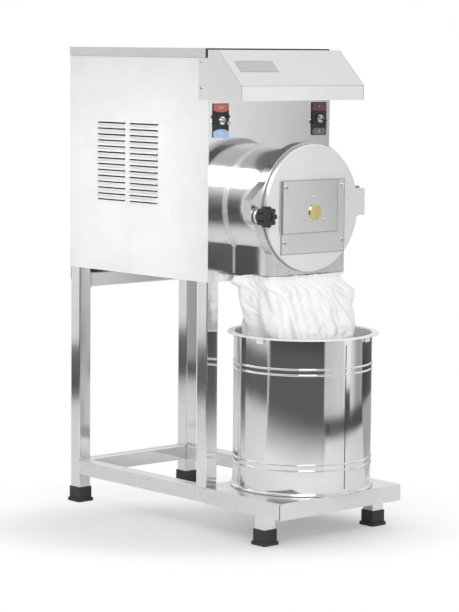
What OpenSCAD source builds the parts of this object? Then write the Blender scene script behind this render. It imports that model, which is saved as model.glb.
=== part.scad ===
// Free-standing domestic flour mill: a stainless cabinet on a square-tube stand, a round
// grinding chamber on its front, and a flour drum on the platform under a filter sleeve.
// Millimetres, +Z up, front towards -Y. Lengths called v run forward from the rear panel.

/* [Cabinet] */
// Width over the side panels
cabinet_w = 356; // [346:1:390]
// Depth from the rear panel's back to the front panel's face
cabinet_d = 466; // [450:1:500]
// Height of the panels' bottom edge above the floor
panel_bottom = 536; // [525:1:545]
// Height of the panels' top edge above the floor
cabinet_top = 1008; // [995:1:1040]
// Thickness of the cabinet sheet
sheet = 1.5; // [1:0.1:2]
// Width of the fold along the top of each side panel
panel_fold = 22; // [12:1:28]
// How far the rear panel laps down over the upper rear rail
rear_lap = 16; // [6:1:26]

/* [Louvres] */
// Length of one louvre
louvre_l = 98; // [60:1:110]
// Height from one louvre to the next
louvre_pitch = 13; // [12:0.5:16]
// Louvres in one column
louvre_rows = 14; // [6:1:16]
// How far a louvre is pressed out
louvre_r = 6; // [4:0.5:7]
// Height of the lowest louvre above the floor
louvre_bottom = 696; // [660:1:720]
// Distance from the rear to the first column
louvre_rear = 97; // [60:1:120]
// Gap between the two columns
louvre_gap = 12; // [8:1:30]
// Height of the open slit under a louvre
louvre_slot = 3.5; // [2:0.5:5]

/* [Stand] */
// Side of the square tube
tube = 32; // [28:1:36]
// Wall of the square tube
tube_wall = 1.6; // [1.2:0.1:2.5]
// Corner radius of the square tube
tube_corner = 2.5; // [2:0.1:4]
// Height of the base rails' top face
rail_top = 95; // [85:1:110]
// Height of the upper rear rail's bottom face
upper_rail_bottom = 490; // [470:1:500]
// Side of a rubber foot
foot_w = 37; // [34.5:0.5:40]
// Height of a rubber foot
foot_h = 33; // [28:1:40]
// Side of the lip round the bottom of a foot
foot_lip = 43; // [41:0.5:48]
// Height of that lip
foot_lip_h = 7; // [4:0.5:10]

/* [Platform] */
// Thickness of the platform sheet
pan_sheet = 1.5; // [1:0.1:2]
// Depth of the platform's turned-down edge
pan_drop = 35.5; // [20:0.5:45]
// Distance from the platform's front edge to the front feet
stub_inset = 49; // [35:1:70]
// Radius of the relief hole at a folded corner
pan_relief_r = 2.5; // [1.5:0.1:4]
// Width of the open seam at a folded corner
pan_seam = 2.4; // [0.4:0.1:4]

/* [Hood] */
// Thickness of the hood sheet
hood_sheet = 1.2; // [0.8:0.1:1.8]
// How far the hood's lip stands in front of the cabinet
hood_reach = 103; // [80:1:130]
// How far its top edge stands in front of the cabinet
hood_top_reach = 28; // [20:1:40]
// How far the hood hangs below the panels' top edge
hood_drop = 88; // [78:1:103]
// Height of the hood's upright lip
hood_lip = 31; // [20:1:45]
// Least gap between the hood and the chamber's flange below it
hood_clear = 6; // [4:1:20]
// How far the hood's top stands above the panels
hood_rise = 17; // [12:1:18]
// How far the hood's cheeks lap back over the side panels
hood_lap = 31; // [20:1:60]
// Width of the folds inside the hood's edges
hood_fold = 12; // [8:1:20]

/* [Lid] */
// Height of the lid
lid_h = 19.6; // [18.5:0.1:26]
// Wall of the lid
lid_wall = 2; // [1.6:0.1:3]
// How far the lid stands out past the side panels
lid_over = 1.5; // [1.2:0.1:1.9]
// Gap between the lid's front and the hood
lid_front_gap = 5; // [3:0.5:12]
// Thickness of the dark strip along the lid's front
grip_t = 4; // [3:0.5:6]
// Width of one lid hinge
lid_hinge_w = 60; // [45:1:90]
// Distance from the middle to each lid hinge
lid_hinge_x = 105; // [80:1:120]
// Thickness of a lid hinge leaf
leaf_t = 1.5; // [1:0.1:2]
// Radius of a lid hinge barrel
barrel_r = 4.5; // [4:0.1:5]
// Radius of a lid hinge pin
lid_pin_r = 2.5; // [2:0.1:3]
// Height of a lid hinge's fixed leaf
leaf_h = 32; // [24:1:40]

/* [Hopper] */
// Thickness of the hopper sheet
hopper_sheet = 1.2; // [0.8:0.1:2]
// Inner radius of the feed elbow
feed_r = 20; // [16:0.5:21]
// Height of the feed inlet above the grinding axis
inlet_rise = 89; // [85:1:90]
// Distance from the front panel back to the hopper outlet
outlet_back = 71; // [68:1:76]
// Travel of the hopper's gate
gate_travel = 55; // [50:1:60]
// Half the width of the gate
gate_hw = 28; // [25:1:30]
// Height of the gate's finger tab
gate_tab_h = 26; // [15:1:40]

/* [Switches] */
// Distance from a switch plate's middle to the side of the cabinet
switch_inset = 34; // [30:1:50]
// Distance from the hood's bottom edge down to the switches
switch_drop = 43; // [40:1:50]
// Width of a switch plate
plate_w = 44; // [40:1:52]
// Height of a switch plate
plate_h = 72; // [60:1:80]
// Thickness of a switch plate
plate_t = 2; // [1.5:0.1:3]
// Radius of a toggle's ball
ball_r = 4; // [3.5:0.1:4.5]
// Length of a toggle
toggle_l = 22; // [16:1:28]
// Tilt of a toggle to each side of straight out
toggle_tilt = 15; // [8:1:18]

/* [Chamber] */
// Height of the grinding axis above the floor
axis_z = 694; // [690:1:705]
// Outer radius of the chamber
chamber_r = 130; // [126:1:136]
// Wall of the chamber
chamber_wall = 3; // [2:0.1:4]
// Length of the chamber from the cabinet to the flange
chamber_l = 100; // [90:1:115]
// Thickness of the chamber's back plate
back_plate_t = 4; // [3:0.5:6]
// Depth of the cast flange
flange_d = 24; // [20:1:30]
// Thickness of the flange's front plate
flange_plate_t = 12; // [9:1:14]
// How far the flange stands out round the chamber
flange_rim = 10; // [8:1:13]
// Radius of the door opening
opening_r = 115; // [113:1:118]
// Outer width of the outlet chute
chute_w = 204; // [196:1:212]
// Depth of the collar that the filter sleeve is tied to
collar_h = 32; // [24:1:36]
// How far the collar stands inside the chute's walls
collar_inset = 5; // [5:0.5:10]
// Wall of the collar
collar_wall = 2; // [1.5:0.1:3]
// Corner radius of the collar
collar_corner = 30; // [26:1:34]

/* [Door] */
// Thickness of the door
door_t = 7; // [5:0.5:10]
// How far the door's edge stays inside the flange's edge
door_step = 5; // [3:0.5:8]
// Chamfer of the door's front edge
door_chamfer = 2; // [1:0.1:3]
// Thickness of the door's seal
seal_t = 2.7; // [2:0.1:4]
// Radius of the door's hinge barrel
door_barrel_r = 9; // [8:0.1:10]
// Radius of the door's hinge pin
door_pin_r = 5; // [4:0.1:6]
// Height of the door's hinge ear
hinge_ear_h = 58; // [50:1:66]
// Distance from the flange's edge to the hinge axis
hinge_out = 8; // [7:0.5:10]
// Width of the cover plate on the door
cover_w = 185; // [170:1:190]
// Height of the cover plate on the door
cover_h = 156; // [140:1:160]
// Thickness of the cover plate
cover_t = 2; // [1:0.1:3]
// Width of the sight plate
sight_w = 160; // [140:1:165]
// Height of the sight plate
sight_h = 112; // [95:1:120]
// Thickness of the sight plate
sight_t = 4; // [2:0.1:6]
// Radius of the brass cap
cap_r = 16.5; // [12:0.5:22]
// Height of the brass cap
cap_t = 3; // [2:0.1:5]

/* [Star knob] */
// Lobes of the knob
knob_lobes = 8; // [5:1:10]
// Outer radius of the knob
knob_r = 22; // [18:0.5:23]
// Depth of the lobed head
knob_d = 20; // [14:1:26]
// Radius of the knob's stud
stud_r = 5; // [4:0.1:6]
// Distance from the flange's edge to the stud
stud_out = 8; // [8:0.5:10]
// Distance from the grinding axis down to the stud
stud_drop = 11; // [0:1:20]

/* [Grinding set] */
// Radius of the shaft
shaft_r = 12; // [10:0.5:14]
// Radius over the hammers
beater_r = 108; // [95:1:109]
// Hammers on the beater
hammer_count = 6; // [4:1:8]
// Thickness of a hammer
hammer_t = 10; // [6:1:14]
// Radial length of a hammer
hammer_l = 28; // [20:1:34]
// Radius of the beater's hub
hub_r = 26; // [22:0.5:32]
// Thickness of the beater's disc and ring
disc_t = 5; // [4:0.5:8]
// Width of the beater's front ring
ring_w = 18; // [12:1:26]
// Thickness of the screen
screen_t = 1.5; // [1:0.1:2]
// Rows of slots round the screen
screen_rows = 15; // [9:2:19]
// Slots along the screen
screen_cols = 4; // [3:1:5]

/* [Motor] */
// Radius of the motor
motor_r = 92; // [84:1:92]
// Length of the motor between its end bells
motor_l = 203; // [180:1:205]
// Thickness of an end bell
bell_t = 16; // [15:1:20]
// Radius of an end bell
bell_r = 78; // [60:1:78]
// Radius of a bearing
bearing_r = 26; // [22:1:30]
// Thickness of the motor plate
motor_plate_t = 3; // [2:0.5:5]
// Depth of the fan cowl
cowl_d = 42; // [40:1:46]
// Blades of the fan
fan_blades = 8; // [5:1:10]
// Thickness of the fan
fan_t = 12; // [8:1:14]
// Gap between the fan and the end bell
fan_gap = 4; // [3:1:6]
// Wall of the motor's housing
housing_wall = 12; // [8:1:16]
// Radius of the capacitor
can_r = 22; // [18:1:26]
// Height of the capacitor's can
can_h = 88; // [70:1:100]
// Height of the capacitor's terminal block
can_block_h = 8; // [6:1:12]
// Gap between the capacitor and the fan cowl
can_gap = 30; // [10:1:40]

/* [Drum] */
// Radius of the drum
drum_r = 148; // [140:1:150]
// Height of the drum
drum_h = 332; // [310:1:345]
// Wall of the drum
drum_wall = 1; // [0.8:0.1:2]
// Radius of the drum's flat rim
rim_r = 162; // [158:1:164]
// Thickness of the rim
rim_t = 3; // [2:0.5:5]
// How far the drum stands right of the middle
drum_x = 11; // [0:1:14]
// How far the drum's foot passes the platform's front edge
drum_overhang = 12; // [0:1:20]
// Radius of a bead
bead_r = 2.4; // [1.5:0.1:4]
// Distance from the drum's foot to its lowest bead
bead_low = 54; // [40:1:70]
// Distance from the drum's rim to its highest bead
bead_high = 64; // [40:1:80]
// Distance between the beads of a pair
bead_pitch = 12; // [8:1:26]

/* [Filter sleeve] */
// Thickness of the cloth
bag_t = 1.2; // [1:0.1:2]
// Radius of the sleeve in the drum
bag_r = 121; // [112:1:122]
// How deep the sleeve hangs into the drum
bag_dip = 100; // [60:1:140]
// Folds round the sleeve
bag_folds = 11; // [7:1:14]
// Depth of the folds
bag_fold_d = 4; // [2:0.5:5]

/* [Fits] */
// Radial clearance of a turning fit
running = 0.05; // [0.02:0.01:0.1]
// Clearance of a fixed seat
seat = 0.02; // [0.01:0.01:0.05]
// Clearance where a moving piece rests
rest_gap = 0.3; // [0.2:0.05:0.5]

/* [Hidden] */
$fn = 64;

// Colours
polished = [0.80, 0.81, 0.83];
satin = [0.87, 0.87, 0.87];
cast_metal = [0.70, 0.71, 0.72];
dark_steel = [0.42, 0.43, 0.45];
black = [0.07, 0.07, 0.08];
brass = [0.83, 0.66, 0.24];
cloth = [0.95, 0.95, 0.94];
motor_grey = [0.36, 0.40, 0.44];

// Small overlap that keeps a cut clear of the face it opens
cut = 1;

// Stand
half_w = cabinet_w / 2;
leg_x1 = half_w - sheet;
leg_x0 = leg_x1 - tube;
rear_leg_v = [sheet, sheet + tube];
front_leg_v = [cabinet_d - sheet - tube, cabinet_d - sheet];
rail_z = [rail_top - tube, rail_top];
leg_head = 3;
leg_top = cabinet_top - sheet - leg_head;
foot_floor = 8;
foot_pocket = tube + 0.4;

// Chamber, along v and z
shell_v0 = cabinet_d + back_plate_t;
flange_v0 = cabinet_d + chamber_l;
flange_v1 = flange_v0 + flange_d;
plate_v0 = flange_v1 - flange_plate_t;
flange_r = chamber_r + flange_rim;
door_r = flange_r - door_step;
door_v0 = flange_v1 + seal_t + rest_gap;
door_v1 = door_v0 + door_t;
chute_below = 7;
chute_bottom = axis_z - door_r - chute_below;
flange_lip = 2;
back_rim = 4;
shaft_hole_r = shaft_r + 4;

// Collar and filter sleeve
collar_hw = chute_w / 2 - collar_inset;
collar_v = [shell_v0 + 12, plate_v0 - 2];
collar_mid = (collar_v[0] + collar_v[1]) / 2;
collar_hd = (collar_v[1] - collar_v[0]) / 2;
hem_gap = 0.9;

// Drum: it stands clear of the front legs and at least this far in front of the chute
leg_room = 4;
drum_lead = 34;
leg_side = leg_x0 - drum_x;
rim_reach = rim_r + leg_room;
drum_v = max(front_leg_v[1] + sqrt(max(0, rim_reach * rim_reach - leg_side * leg_side)),
    collar_mid + drum_lead);
platform_front = drum_v + drum_r - drum_overhang;
platform_rear = cabinet_d + 2;
pan_top = rail_top + pan_sheet;
drum_z = pan_top + rest_gap;
drum_top = drum_z + drum_h;

// Lid and its hinges
lid_z0 = cabinet_top + 0.4;
lid_top = lid_z0 + lid_h;
lid_front = cabinet_d - lid_front_gap - grip_t;
lid_axis_v = -(barrel_r + rest_gap);
lid_axis_z = cabinet_top + 0.5;

// The box's rear and front ends set the origin in the middle
front_reach = drum_v + rim_r;
rear_reach = barrel_r - lid_axis_v;
rear_y = (front_reach - rear_reach) / 2;

// Hood
hood_bottom = max(cabinet_top - hood_drop, axis_z + flange_r + hood_clear);
hood_bend = hood_bottom + hood_lip;
hood_v0 = cabinet_d - hood_lap;
lip_v = cabinet_d + hood_reach;
hood_top = cabinet_top + hood_rise;
hood_top_v = cabinet_d + hood_top_reach;
hood_back_v = cabinet_d - 2;
hood_x = half_w + hood_sheet;

// Hopper and feed
elbow_wall = 2;
elbow_v = cabinet_d - outlet_back;
elbow_z = axis_z + inlet_rise + outlet_back;
hopper_floor = elbow_z + 19;
floor_top = hopper_floor + hopper_sheet;
outlet_r = feed_r - 1.8;
gate_lap = 5;
gate_l = 2 * (outlet_r + gate_lap);
gate_t = 2;
gate_z = floor_top + rest_gap;
guide_w = 3;
guide_lip = 3;
hopper_floor_hw = gate_hw + guide_w + 9;
hopper_floor_v = [elbow_v - gate_l / 2 - gate_travel - 6, elbow_v + gate_l / 2 + 4];
leg_clear = 2;
hopper_mouth_hw = half_w - panel_fold - leg_clear;
hopper_mouth_v = [rear_leg_v[1] + leg_clear, front_leg_v[0] - leg_clear];
hopper_flange_z = [cabinet_top, cabinet_top + hopper_sheet];

// Motor, along v
bell_gap = 26;
motor_v1 = cabinet_d - bell_gap - bell_t;
motor_v0 = motor_v1 - motor_l;
side_rail_z = [panel_bottom + 4, panel_bottom + 4 + tube];
motor_plate_z = [side_rail_z[1], side_rail_z[1] + motor_plate_t];
fan_v = [motor_v0 - bell_t - fan_gap - fan_t, motor_v0 - bell_t - fan_gap];
cowl_v0 = motor_v0 - cowl_d;
beater_v = [shell_v0 + 16, plate_v0 - 22];
cap_len = 14;
shaft_v = [fan_v[0] - 2, beater_v[1] + 6];

// Door hinge and stud
hinge_x = flange_r + hinge_out;
hinge_v = flange_v1 - door_barrel_r;
hinge_z = axis_z + 9;
ear_end = hinge_x + 7;
knuckle_h = 12;
knuckle_gap = 0.3;
stud_x = flange_r + stud_out;
stud_z = axis_z - stud_drop;
stud_room = 0.9;
ear_r = 17;
lug_top = 48;

// Switches
switch_x = half_w - switch_inset;
switch_z = hood_bottom - switch_drop;
collar_r = 6;
pivot_out = 6;
collar_out = 10;

// Helpers: boxes, profiles and rods placed by x, v and z

// A box from ranges along x, v and z
module slab(x, v, z) {
    translate([x[0], rear_y - v[1], z[0]])
        cube([x[1] - x[0], v[1] - v[0], z[1] - z[0]]);
}

// A profile in x and z, drawn out along v
module along_v(v0, v1) {
    translate([0, rear_y - v0, 0])
        rotate([90, 0, 0])
            linear_extrude(v1 - v0)
                children();
}

// A profile in v and z, drawn out along x
module along_x(x0, x1) {
    translate([x1, rear_y, 0])
        rotate([90, 0, -90])
            linear_extrude(x1 - x0)
                children();
}

// A profile in x and v, drawn out along z
module along_z(z0, z1) {
    translate([0, rear_y, z0])
        mirror([0, 1, 0])
            linear_extrude(z1 - z0)
                children();
}

module rod_v(x, z, r, v0, v1) {
    translate([x, rear_y - v0, z])
        rotate([90, 0, 0])
            cylinder(r = r, h = v1 - v0);
}

module rod_x(v, z, r, x0, x1) {
    translate([x0, rear_y - v, z])
        rotate([0, 90, 0])
            cylinder(r = r, h = x1 - x0);
}

module rod_z(x, v, r, z0, z1) {
    translate([x, rear_y - v, z0])
        cylinder(r = r, h = z1 - z0);
}

// The piece as drawn on the right, or its mirror image on the left
module on_side(side) {
    if (side < 0) {
        mirror([1, 0, 0])
            children();
    } else {
        children();
    }
}

module both_sides() {
    for (side = [-1, 1]) {
        on_side(side)
            children();
    }
}

// A rectangle with round corners, centred
module round_rect(w, h, r) {
    square([w - 2 * r, h], center = true);
    square([w, h - 2 * r], center = true);
    for (sx = [-1, 1], sy = [-1, 1]) {
        translate([sx * (w / 2 - r), sy * (h / 2 - r)])
            circle(r);
    }
}

// The section of the square tube
module tube_section() {
    difference() {
        round_rect(tube, tube, tube_corner);
        round_rect(tube - 2 * tube_wall, tube - 2 * tube_wall, tube_corner - tube_wall / 2);
    }
}

// Square tubes standing, running along v, and running along x
module tube_up(x, v, z) {
    along_z(z[0], z[1])
        translate([x[0] + tube / 2, v[0] + tube / 2])
            tube_section();
}

module tube_fore(x, v, z) {
    along_v(v[0], v[1])
        translate([x[0] + tube / 2, z[0] + tube / 2])
            tube_section();
}

module tube_across(x, v, z) {
    along_x(x[0], x[1])
        translate([v[0] + tube / 2, z[0] + tube / 2])
            tube_section();
}

// Stand

module rear_leg(side) {
    color(polished)
        on_side(side)
            tube_up([leg_x0, leg_x1], rear_leg_v, [foot_floor, leg_top]);
}

module rear_leg_left() {
    rear_leg(-1);
}

module rear_leg_right() {
    rear_leg(1);
}

module front_leg(side) {
    color(polished)
        on_side(side)
            tube_up([leg_x0, leg_x1], front_leg_v, [rail_top, leg_top]);
}

module front_leg_left() {
    front_leg(-1);
}

module front_leg_right() {
    front_leg(1);
}

module base_rail(side) {
    color(polished)
        on_side(side)
            tube_fore([leg_x0, leg_x1], [rear_leg_v[1], platform_front - pan_sheet], rail_z);
}

module base_rail_left() {
    base_rail(-1);
}

module base_rail_right() {
    base_rail(1);
}

module base_rail_rear() {
    color(polished)
        tube_across([-leg_x0, leg_x0], rear_leg_v, rail_z);
}

module platform_cross_rails() {
    color(polished) {
        tube_across([-leg_x0, leg_x0], front_leg_v, rail_z);
        tube_across([-leg_x0, leg_x0], [platform_front - pan_sheet - tube, platform_front], rail_z);
    }
}

// A folded tray, open below, with a relief hole and an open seam at each front corner
module platform_pan() {
    fold_v = platform_front - pan_sheet;
    color(polished)
        difference() {
            slab([-half_w, half_w], [platform_rear, platform_front], [pan_top - pan_drop, pan_top]);
            slab([-leg_x1, leg_x1], [platform_rear - cut, fold_v], [pan_top - pan_drop - cut, rail_top]);
            both_sides() {
                slab([leg_x1 - cut, half_w + cut], [fold_v - pan_seam, fold_v], [pan_top - pan_drop - cut, rail_top]);
                rod_z(leg_x1, fold_v, pan_relief_r, rail_top - cut, pan_top + cut);
            }
        }
}

module front_stubs() {
    stub_v = [platform_front - stub_inset - tube, platform_front - stub_inset];
    color(polished)
        both_sides()
            tube_up([leg_x0, leg_x1], stub_v, [foot_floor, rail_z[0]]);
}

module rubber_foot(v) {
    x_mid = (leg_x0 + leg_x1) / 2;
    v_mid = v + tube / 2;
    difference() {
        union() {
            along_z(0, foot_h)
                translate([x_mid, v_mid])
                    round_rect(foot_w, foot_w, 3);
            along_z(0, foot_lip_h)
                translate([x_mid, v_mid])
                    round_rect(foot_lip, foot_lip, 4);
        }
        along_z(foot_floor, foot_h + cut)
            translate([x_mid, v_mid])
                round_rect(foot_pocket, foot_pocket, tube_corner);
    }
}

module rubber_feet() {
    color(black)
        both_sides() {
            rubber_foot(rear_leg_v[0]);
            rubber_foot(platform_front - stub_inset - tube);
        }
}

module upper_rail_rear() {
    color(polished)
        tube_across([-leg_x0, leg_x0], rear_leg_v, [upper_rail_bottom, upper_rail_bottom + tube]);
}

module upper_rails_side() {
    color(polished)
        both_sides()
            tube_fore([leg_x0, leg_x1], [rear_leg_v[1], front_leg_v[0]], side_rail_z);
}

// Cabinet

module motor_plate() {
    color(satin)
        slab([-leg_x1, leg_x1], [rear_leg_v[1], front_leg_v[0]], motor_plate_z);
}

// The quarter-round form of one pressed louvre, its mouth facing down
module louvre_form(r, v0, v1, z, back, below) {
    along_v(v0, v1)
        translate([half_w, z])
            intersection() {
                circle(r);
                translate([-back, -below])
                    square([back + r, below + r]);
            }
}

module louvre_bank(r, inset, back, below) {
    for (col = [0, 1], row = [0 : louvre_rows - 1]) {
        v0 = louvre_rear + col * (louvre_l + louvre_gap);
        louvre_form(r, v0 + inset, v0 + louvre_l - inset, louvre_bottom + row * louvre_pitch, back, below);
    }
}

module side_panel(side) {
    color(satin)
        on_side(side)
            difference() {
                union() {
                    slab([leg_x1, half_w], [0, cabinet_d], [panel_bottom, cabinet_top]);
                    slab([half_w - panel_fold, half_w], [0, cabinet_d], [cabinet_top - sheet, cabinet_top]);
                    louvre_bank(louvre_r, 0, 0, 0);
                }
                louvre_bank(louvre_r - sheet, sheet, 2 * sheet, louvre_slot);
            }
}

module side_panel_left() {
    side_panel(-1);
}

module side_panel_right() {
    side_panel(1);
}

module rear_panel() {
    color(satin)
        slab([-leg_x1, leg_x1], [0, sheet], [upper_rail_bottom + tube - rear_lap, cabinet_top - sheet]);
}

module front_panel() {
    color(polished)
        difference() {
            slab([-leg_x1, leg_x1], [cabinet_d - sheet, cabinet_d], [panel_bottom, cabinet_top - sheet]);
            rod_v(0, axis_z, chamber_r - 6, cabinet_d - sheet - cut, cabinet_d + cut);
        }
}

// Outline of a hood cheek, in v and z
module cheek_outline() {
    polygon([[hood_v0, hood_bottom], [lip_v, hood_bottom], [lip_v, hood_bend], [hood_top_v, hood_top],
        [hood_back_v, hood_top], [hood_back_v, cabinet_top - 1], [hood_v0, cabinet_top - 1]]);
}

// The bent front sheet: lip, slope, top and the folds along its edges
module hood_front_outline() {
    t = hood_sheet;
    slope = atan2(hood_top - hood_bend, lip_v - hood_top_v);
    bend_z = hood_bend - t * (1 - sin(slope)) / cos(slope);
    bend_v = hood_top_v - t * (1 - cos(slope)) / sin(slope);
    back = [hood_back_v, hood_back_v + t];
    fold_v = lip_v - hood_fold;
    outside = [[back[0], cabinet_top + 1], [back[0], hood_top], [hood_top_v, hood_top],
        [lip_v, hood_bend], [lip_v, hood_bottom], [fold_v, hood_bottom]];
    inside = [[fold_v, hood_bottom + t], [lip_v - t, hood_bottom + t], [lip_v - t, bend_z],
        [bend_v, hood_top - t], [back[1], hood_top - t], [back[1], cabinet_top + 1]];
    polygon(concat(outside, inside));
}

module hood() {
    color(satin) {
        both_sides()
            along_x(half_w, hood_x)
                cheek_outline();
        along_x(-half_w, half_w)
            hood_front_outline();
    }
}

module cable_gland() {
    gland_x = half_w - 58;
    gland_z = panel_bottom + 34;
    gland_r = 9;
    color(black)
        difference() {
            union() {
                rod_v(gland_x, gland_z, gland_r, -8, 0);
                translate([gland_x, rear_y + 4, gland_z])
                    rotate([90, 0, 0])
                        cylinder(r = gland_r + 3, h = 4, $fn = 6);
            }
            rod_v(gland_x, gland_z, 4, -8 - cut, -2);
        }
}

// Hopper and feed

// The tapering inside or outside of the hopper
module hopper_form(gap, z0, z1) {
    hull() {
        slab([-hopper_mouth_hw + gap, hopper_mouth_hw - gap],
            [hopper_mouth_v[0] + gap, hopper_mouth_v[1] - gap], [z1 - 0.1, z1]);
        slab([-hopper_floor_hw + gap, hopper_floor_hw - gap],
            [hopper_floor_v[0] + gap, hopper_floor_v[1] - gap], [z0, z0 + 0.1]);
    }
}

module gate_guide() {
    guide_v = [hopper_floor_v[0] + 2, hopper_floor_v[1] - 2];
    lip_z = gate_z + gate_t + rest_gap;
    slab([gate_hw + rest_gap, gate_hw + guide_w], guide_v, [hopper_floor, lip_z + hopper_sheet]);
    slab([gate_hw - guide_lip, gate_hw + guide_w], guide_v, [lip_z, lip_z + hopper_sheet]);
}

module hopper() {
    color(satin)
        difference() {
            union() {
                difference() {
                    hopper_form(0, hopper_floor, hopper_flange_z[1]);
                    hopper_form(hopper_sheet, floor_top, hopper_flange_z[1] + cut);
                }
                difference() {
                    slab([-half_w + 4, half_w - 4], [4, cabinet_d - 12], hopper_flange_z);
                    slab([-hopper_mouth_hw + 1, hopper_mouth_hw - 1],
                        [hopper_mouth_v[0] + 1, hopper_mouth_v[1] - 1],
                        [hopper_flange_z[0] - cut, hopper_flange_z[1] + cut]);
                }
                both_sides()
                    gate_guide();
                rod_z(0, elbow_v, feed_r - rest_gap, elbow_z + 6, hopper_floor + 0.5);
            }
            rod_z(0, elbow_v, outlet_r, elbow_z + 6 - cut, floor_top + cut);
        }
}

module hopper_gate() {
    gate_v = [elbow_v - gate_l / 2, elbow_v + gate_l / 2];
    color(polished) {
        slab([-gate_hw, gate_hw], gate_v, [gate_z, gate_z + gate_t]);
        slab([-10, 10], [gate_v[0], gate_v[0] + gate_t], [gate_z, gate_z + gate_tab_h]);
    }
}

// A short drop and a slanted run into the chamber's back plate, mitred where they meet
module elbow_form(r, top) {
    run = 2 * outlet_back;
    tail = 3 * r;
    big = 4 * run;
    mitre = -22.5;
    translate([0, rear_y - elbow_v, elbow_z]) {
        intersection() {
            translate([0, 0, -tail])
                cylinder(r = r, h = top + tail);
            rotate([mitre, 0, 0])
                translate([-big / 2, -big / 2, 0])
                    cube(big);
        }
        intersection() {
            rotate([135, 0, 0])
                translate([0, 0, -tail])
                    cylinder(r = r, h = run + tail);
            rotate([mitre, 0, 0])
                translate([-big / 2, -big / 2, -big])
                    cube(big);
        }
    }
}

module feed_elbow() {
    color(satin)
        difference() {
            elbow_form(feed_r + elbow_wall, 18);
            elbow_form(feed_r, 18 + cut);
            slab([-100, 100], [cabinet_d - seat, cabinet_d + 200], [elbow_z - 200, elbow_z + 200]);
        }
}

// Lid

module lid() {
    lid_x = half_w + lid_over;
    color(satin)
        difference() {
            slab([-lid_x, lid_x], [0, lid_front], [lid_z0, lid_top]);
            slab([-lid_x + lid_wall, lid_x - lid_wall], [lid_wall, lid_front - lid_wall],
                [lid_z0 - cut, lid_top - lid_wall]);
        }
}

module lid_grip() {
    lid_x = half_w + lid_over;
    color(black)
        along_v(lid_front, lid_front + grip_t)
            translate([0, (lid_z0 + lid_top) / 2])
                round_rect(2 * lid_x, lid_h, 1.5);
}

// Knuckles of one lid hinge, from x0 to x1
module lid_knuckle(x0, x1, bore_r) {
    difference() {
        children();
        rod_x(lid_axis_v, lid_axis_z, bore_r, x0 - cut, x1 + cut);
    }
}

module lid_hinge_fixed() {
    third = lid_hinge_w / 3;
    color(polished)
        both_sides()
            for (x0 = [lid_hinge_x - lid_hinge_w / 2, lid_hinge_x + third / 2]) {
                lid_knuckle(x0, x0 + third, lid_pin_r + seat) {
                    rod_x(lid_axis_v, lid_axis_z, barrel_r, x0, x0 + third);
                    slab([x0, x0 + third], [-leaf_t, 0], [lid_axis_z - leaf_h, lid_axis_z]);
                }
            }
    color(polished)
        both_sides()
            slab([lid_hinge_x - third / 2 - cut, lid_hinge_x + third / 2 + cut], [-leaf_t, 0],
                [lid_axis_z - leaf_h, lid_axis_z - barrel_r - 1.5]);
}

module lid_hinge_moving() {
    third = lid_hinge_w / 3;
    x0 = lid_hinge_x - third / 2 + rest_gap;
    x1 = lid_hinge_x + third / 2 - rest_gap;
    color(polished)
        both_sides()
            lid_knuckle(x0, x1, lid_pin_r + running) {
                rod_x(lid_axis_v, lid_axis_z, barrel_r, x0, x1);
                slab([x0, x1], [-leaf_t, 0], [lid_axis_z, lid_axis_z + barrel_r + 3]);
                slab([lid_hinge_x - lid_hinge_w / 2, lid_hinge_x + lid_hinge_w / 2], [-leaf_t, 0],
                    [lid_axis_z + barrel_r + 1.5, lid_top - 2]);
            }
}

module lid_hinge_pins() {
    color(dark_steel)
        both_sides()
            rod_x(lid_axis_v, lid_axis_z, lid_pin_r, lid_hinge_x - lid_hinge_w / 2, lid_hinge_x + lid_hinge_w / 2);
}

// Switches

module switch_plate(side) {
    color(black)
        along_v(cabinet_d, cabinet_d + plate_t)
            translate([side * switch_x, switch_z])
                difference() {
                    union() {
                        round_rect(plate_w, plate_h, 3);
                        for (sx = [-1, 1]) {
                            translate([sx * plate_w / 2, -side * 8])
                                circle(3);
                        }
                    }
                    circle(collar_r + seat);
                }
}

module switch_plate_left() {
    switch_plate(-1);
}

module switch_plate_right() {
    switch_plate(1);
}

module switch_collars() {
    nut_r = 9.5;
    nut_v = cabinet_d + plate_t;
    color(polished)
        both_sides()
            difference() {
                union() {
                    rod_v(switch_x, switch_z, collar_r, cabinet_d, cabinet_d + collar_out);
                    translate([switch_x, rear_y - nut_v, switch_z])
                        rotate([90, 0, 0])
                            cylinder(r = nut_r, h = 4, $fn = 6);
                }
                rod_v(switch_x, switch_z, ball_r + running, cabinet_d + 1, cabinet_d + collar_out + cut);
            }
}

module switch_toggle(side) {
    tip_r = 3.6;
    color(polished)
        translate([side * switch_x, rear_y - cabinet_d - pivot_out, switch_z])
            rotate([90 + toggle_tilt, 0, 0]) {
                sphere(ball_r);
                cylinder(r1 = 2, r2 = tip_r, h = toggle_l);
                translate([0, 0, toggle_l])
                    sphere(tip_r);
            }
}

module switch_toggle_left() {
    switch_toggle(-1);
}

module switch_toggle_right() {
    switch_toggle(1);
}

// Chamber

// A round head on a straight-sided chute, in x and z
module chamber_outline(r, half, bottom) {
    translate([0, axis_z])
        circle(r);
    translate([-half, bottom])
        square([2 * half, axis_z - bottom]);
}

module chamber_back_plate() {
    support_r = opening_r - rest_gap;
    color(polished)
        difference() {
            union() {
                along_v(cabinet_d, shell_v0)
                    chamber_outline(chamber_r + back_rim, chute_w / 2, chute_bottom);
                difference() {
                    rod_v(0, axis_z, support_r + 5, shell_v0, shell_v0 + 8);
                    rod_v(0, axis_z, opening_r, shell_v0, shell_v0 + 8 + cut);
                    slab([-200, 200], [shell_v0, shell_v0 + 8 + cut], [axis_z + 6, axis_z + 200]);
                }
            }
            rod_v(0, axis_z, shaft_hole_r, cabinet_d - cut, shell_v0 + cut);
            elbow_form(feed_r, 1);
        }
}

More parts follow.
